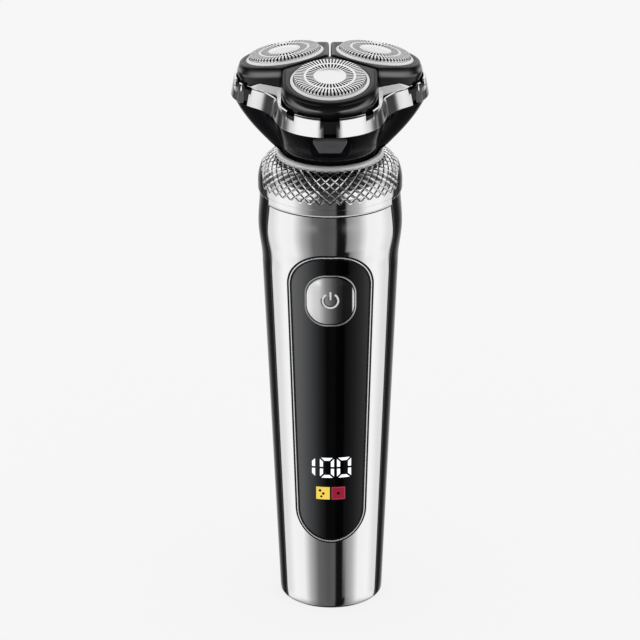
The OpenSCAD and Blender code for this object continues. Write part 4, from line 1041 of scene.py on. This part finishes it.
def funnel_rib(angle, r=0.26, n=60, m=14):
    """A fine rounded rib that runs down a waist of the funnel: circles centred on the wall."""
    share = np.linspace(0.04, 0.985, n)[:, None]
    wall = plan_r(*hood_level(share), angle)
    t, a = circle(m), math.radians(angle)
    out, along = wall - 0.06 + r * np.cos(t), r * np.sin(t)
    z = NECK_Z + share * (HOOD_TOP - NECK_Z) + 0 * out
    return loft(np.stack([out * math.cos(a) - along * math.sin(a), out * math.sin(a) + along * math.cos(a), z], -1))


piece("funnel_ribs", [funnel_rib(210), funnel_rib(330)], black_gloss, "head_base")


def funnel_foot(top=0.28, n=180):
    """A dull band round the foot of the funnel: the funnel's own loops a hair outside it, closed by the
    same loops set inside."""
    a = np.linspace(0, 360, n, endpoint=False)
    shares = np.linspace(0.0, top, 10)
    return loft([hood_loop(t, -0.05, a) for t in shares] + [hood_loop(t, 0.4, a) for t in shares[::-1]], ring=True)


piece("funnel_foot", [funnel_foot()], dull_black, "head_base", sharp_deg=60)

# ---------------------------------------------------------------- bead round the neck
bead = [(12.9, -1.2), (15.9, -1.2), (16.0, -0.5)]
bead += [(15.05 + 0.95 * math.cos(t), 0.35 + 0.85 * math.sin(t)) for t in np.linspace(-0.3, 3.0, 14)]
bead += [(13.9, -0.2)]
around_bead = np.linspace(0, 360, 180, endpoint=False)
piece("neck_bead", [loft([around(r, NECK_Z + z, around_bead) for r, z in bead], ring=True)], bead_silver,
      "handle", ["neck_ring"], sharp_deg=40)

# ---------------------------------------------------------------- pods, rings, caps
ring_profile = [(CAP_R + 0.25, -2.3), (CAP_R + 0.25, -1.15), (CAP_R + 0.35, -1.04), (11.0, -1.08),
                (11.85, -1.86), (11.9, -2.3)]
for way in DIRS:
    piece(f"pod_shell_{way}", [pod_shape(way)], pod_finish(way), f"pod_{way}", [f"pod_{way}"],
          sharp_deg=40)
    piece(f"pod_bevel_{way}", [turned(ring_profile, way)], ring_grey, f"pod_{way}",
          [f"pod_ring_{way}"], sharp_deg=30)
    piece(f"pod_face_{way}", [pod_face_plate(way)], pod_satin, f"pod_{way}", sharp_deg=30)
    piece(f"foil_cap_{way}", [slotted_cap(way)], cap_finish(way), f"cap_{way}",
          [f"cap_{way}"])

# ---------------------------------------------------------------- finishes of the CAD nodes
wearers = {
    black_satin: "base_cap neck_socket gear_deck", rubber: "neck_seal spindle_seals",
    board_dark: "display_module power_switch", board_green: "main_board",
    inner_steel: "charging_port board_screws motor_can motor_screws motor_shaft deck_screws hinge_pin",
    inner_plastic: "chassis motor_mount", cell_wrap: "battery_cell", contact_brass: "battery_tabs",
    acetal: "drive_coupling centre_gear drive_gear_front drive_gear_right drive_gear_left "
            "spindle_front spindle_right spindle_left",
    carrier_black: "cutter_carrier", cutter_steel: "cutter_front cutter_right cutter_left"}
node_finish = {node: finish for finish, nodes in wearers.items() for node in nodes.split()}
for node, finish in node_finish.items():
    obj = bpy.data.objects[node]
    if not obj.material_slots:
        obj.data.materials.append(finish)
    for place in obj.material_slots:
        place.link = "OBJECT"
        place.material = finish

# ---------------------------------------------------------------- floor, studio world and camera
PALE, FLOOR_GLOW, GLOW_SHARE, SOFT_LIGHT = 0.913, 0.965, 0.85, 0.8
FLOOR_HALF = 6.0
floor_mesh = bpy.data.meshes.new("floor")
floor_mesh.from_pydata([(x * FLOOR_HALF, y * FLOOR_HALF, 0) for x, y in ((-1, -1), (1, -1), (1, 1), (-1, 1))],
                       [], [(0, 1, 2, 3)])
floor = bpy.data.objects.new("floor", floor_mesh)
bpy.context.scene.collection.objects.link(floor)
floor.visible_glossy = False
floor_paint = bpy.data.materials.new("floor_paint")
floor_paint.use_nodes = True
tree = floor_paint.node_tree
set_surface(floor_paint, {"Base Color": rgba(PALE), "Roughness": 0.9})
glow = add_node(tree, "Emission", {"Color": rgba(FLOOR_GLOW), "Strength": 1.0})
ray = add_node(tree, "LightPath").outputs
direct = number(tree, "MAXIMUM", ray["Is Camera Ray"], ray["Is Transmission Ray"])
paint = add_node(tree, "MixShader", {"Fac": number(tree, "MULTIPLY", direct, GLOW_SHARE),
                                     1: tree.nodes["Principled BSDF"].outputs[0], 2: glow.outputs[0]})
plug(tree, tree.nodes["Material Output"], {"Surface": paint.outputs[0]})
floor_mesh.materials.append(floor_paint)

world = bpy.data.worlds.new("studio")
bpy.context.scene.world = world
world.use_nodes = True
tree = world.node_tree
tree.nodes.clear()
view = add_node(tree, "SeparateXYZ", {0: add_node(tree, "TexCoord").outputs["Generated"]}).outputs
turn_at = number(tree, "ARCTAN2", view["X"], number(tree, "MULTIPLY", view["Y"], -1.0))
turn_share = number(tree, "ADD", number(tree, "MULTIPLY", turn_at, 1 / (2 * math.pi)), 0.5)
height = number(tree, "ARCSINE", view["Z"])


def flags(stops):
    """Brightness round the object: (degrees from the front towards +X, level) pairs as a ramp."""
    return ramp(tree, turn_share, [((degrees + 180) / 360, level) for degrees, level in stops])


# soft boxes and dark flags round the object, from the floor up
ground = flags([(-180, 0.02), (180, 0.02)])
edge_row = flags([(-180, 0.3), (-60, 0.45), (-30, 0.12), (8, 0.1), (11, 0.006), (30, 0.006), (36, 0.2),
                  (60, 0.45), (180, 0.3)])
left_side = [(-180, 1.0), (-158, 0.5), (-140, 0.04), (-124, 0.03)]
left_front = [(-62, 0.96), (-46, 0.46), (-28, 0.14), (-6, 0.09), (8, 0.11), (11, 0.006)]
right_side = [(124, 0.03), (140, 0.04), (158, 0.5), (180, 1.0)]
foot_row = flags([*left_side, (-118, 0.85), (-104, 0.92), (-86, 1.0), *left_front, (31, 0.006), (34, 0.22),
                  (50, 0.50), (64, 0.96), (88, 1.0), (104, 0.92), (118, 0.85), *right_side])
waist_row = flags([*left_side, (-118, 0.80), (-106, 0.80), (-88, 1.0), *left_front, (24, 0.006), (28, 0.26),
                   (46, 0.48), (62, 0.96), (88, 1.0), (106, 0.80), (118, 0.80), *right_side])
rim_row = flags([(-180, 0.8), (-152, 0.75), (-136, 0.60), (-124, 0.05), (-113, 0.04), (-104, 0.18),
                 (-92, 0.70), (-72, 1.0), (-27, 1.0), (-17, 0.06), (17, 0.04), (27, 1.0), (72, 1.0),
                 (92, 0.70), (104, 0.18), (113, 0.04), (124, 0.05), (136, 0.60), (152, 0.75), (180, 0.8)])
upper_row = flags([(-180, 1.0), (-124, 1.0), (-96, 0.10), (-60, 0.02), (60, 0.02), (96, 0.10), (124, 1.0),
                   (180, 1.0)])
zenith = flags([(-180, 0.10), (180, 0.10)])

# each row above the one before, blended between two heights in degrees
surround = ground
for row, start, end in ((edge_row, -66, -58), (foot_row, -42, -34), (waist_row, -31.6, -30.9),
                        (rim_row, -12.8, -9.8), (upper_row, 8, 14), (zenith, 52, 66)):
    surround = blend(tree, smooth_step(tree, height, math.radians(start), math.radians(end)), surround, row)
studio, soft, plain = [add_node(tree, "Background", {"Color": color}).outputs[0]
                       for color in (surround, rgba(SOFT_LIGHT), rgba(PALE))]
ray = add_node(tree, "LightPath").outputs
seen = add_node(tree, "MixShader", {"Fac": ray["Is Glossy Ray"], 1: soft, 2: studio})
direct = number(tree, "MAXIMUM", ray["Is Camera Ray"], ray["Is Transmission Ray"])
sky = add_node(tree, "MixShader", {"Fac": direct, 1: seen.outputs[0], 2: plain})
add_node(tree, "OutputWorld", {"Surface": sky.outputs[0]})

scene = bpy.context.scene
scene.view_settings.view_transform = "Standard"
camera_data = bpy.data.cameras.new("camera")
camera_data.lens, camera_data.sensor_width, camera_data.shift_x = 233.4, 36, -0.0164
camera = bpy.data.objects.new("camera", camera_data)
camera.location = (0, -1.152, 0.576)
# a small roll about the line of sight, shared out by the pitch's sine and cosine
PITCH, ROLL = math.radians(67.11), math.radians(0.14)
camera.rotation_euler = (PITCH, ROLL * math.sin(PITCH), -ROLL * math.cos(PITCH))
scene.collection.objects.link(camera)
scene.camera = camera
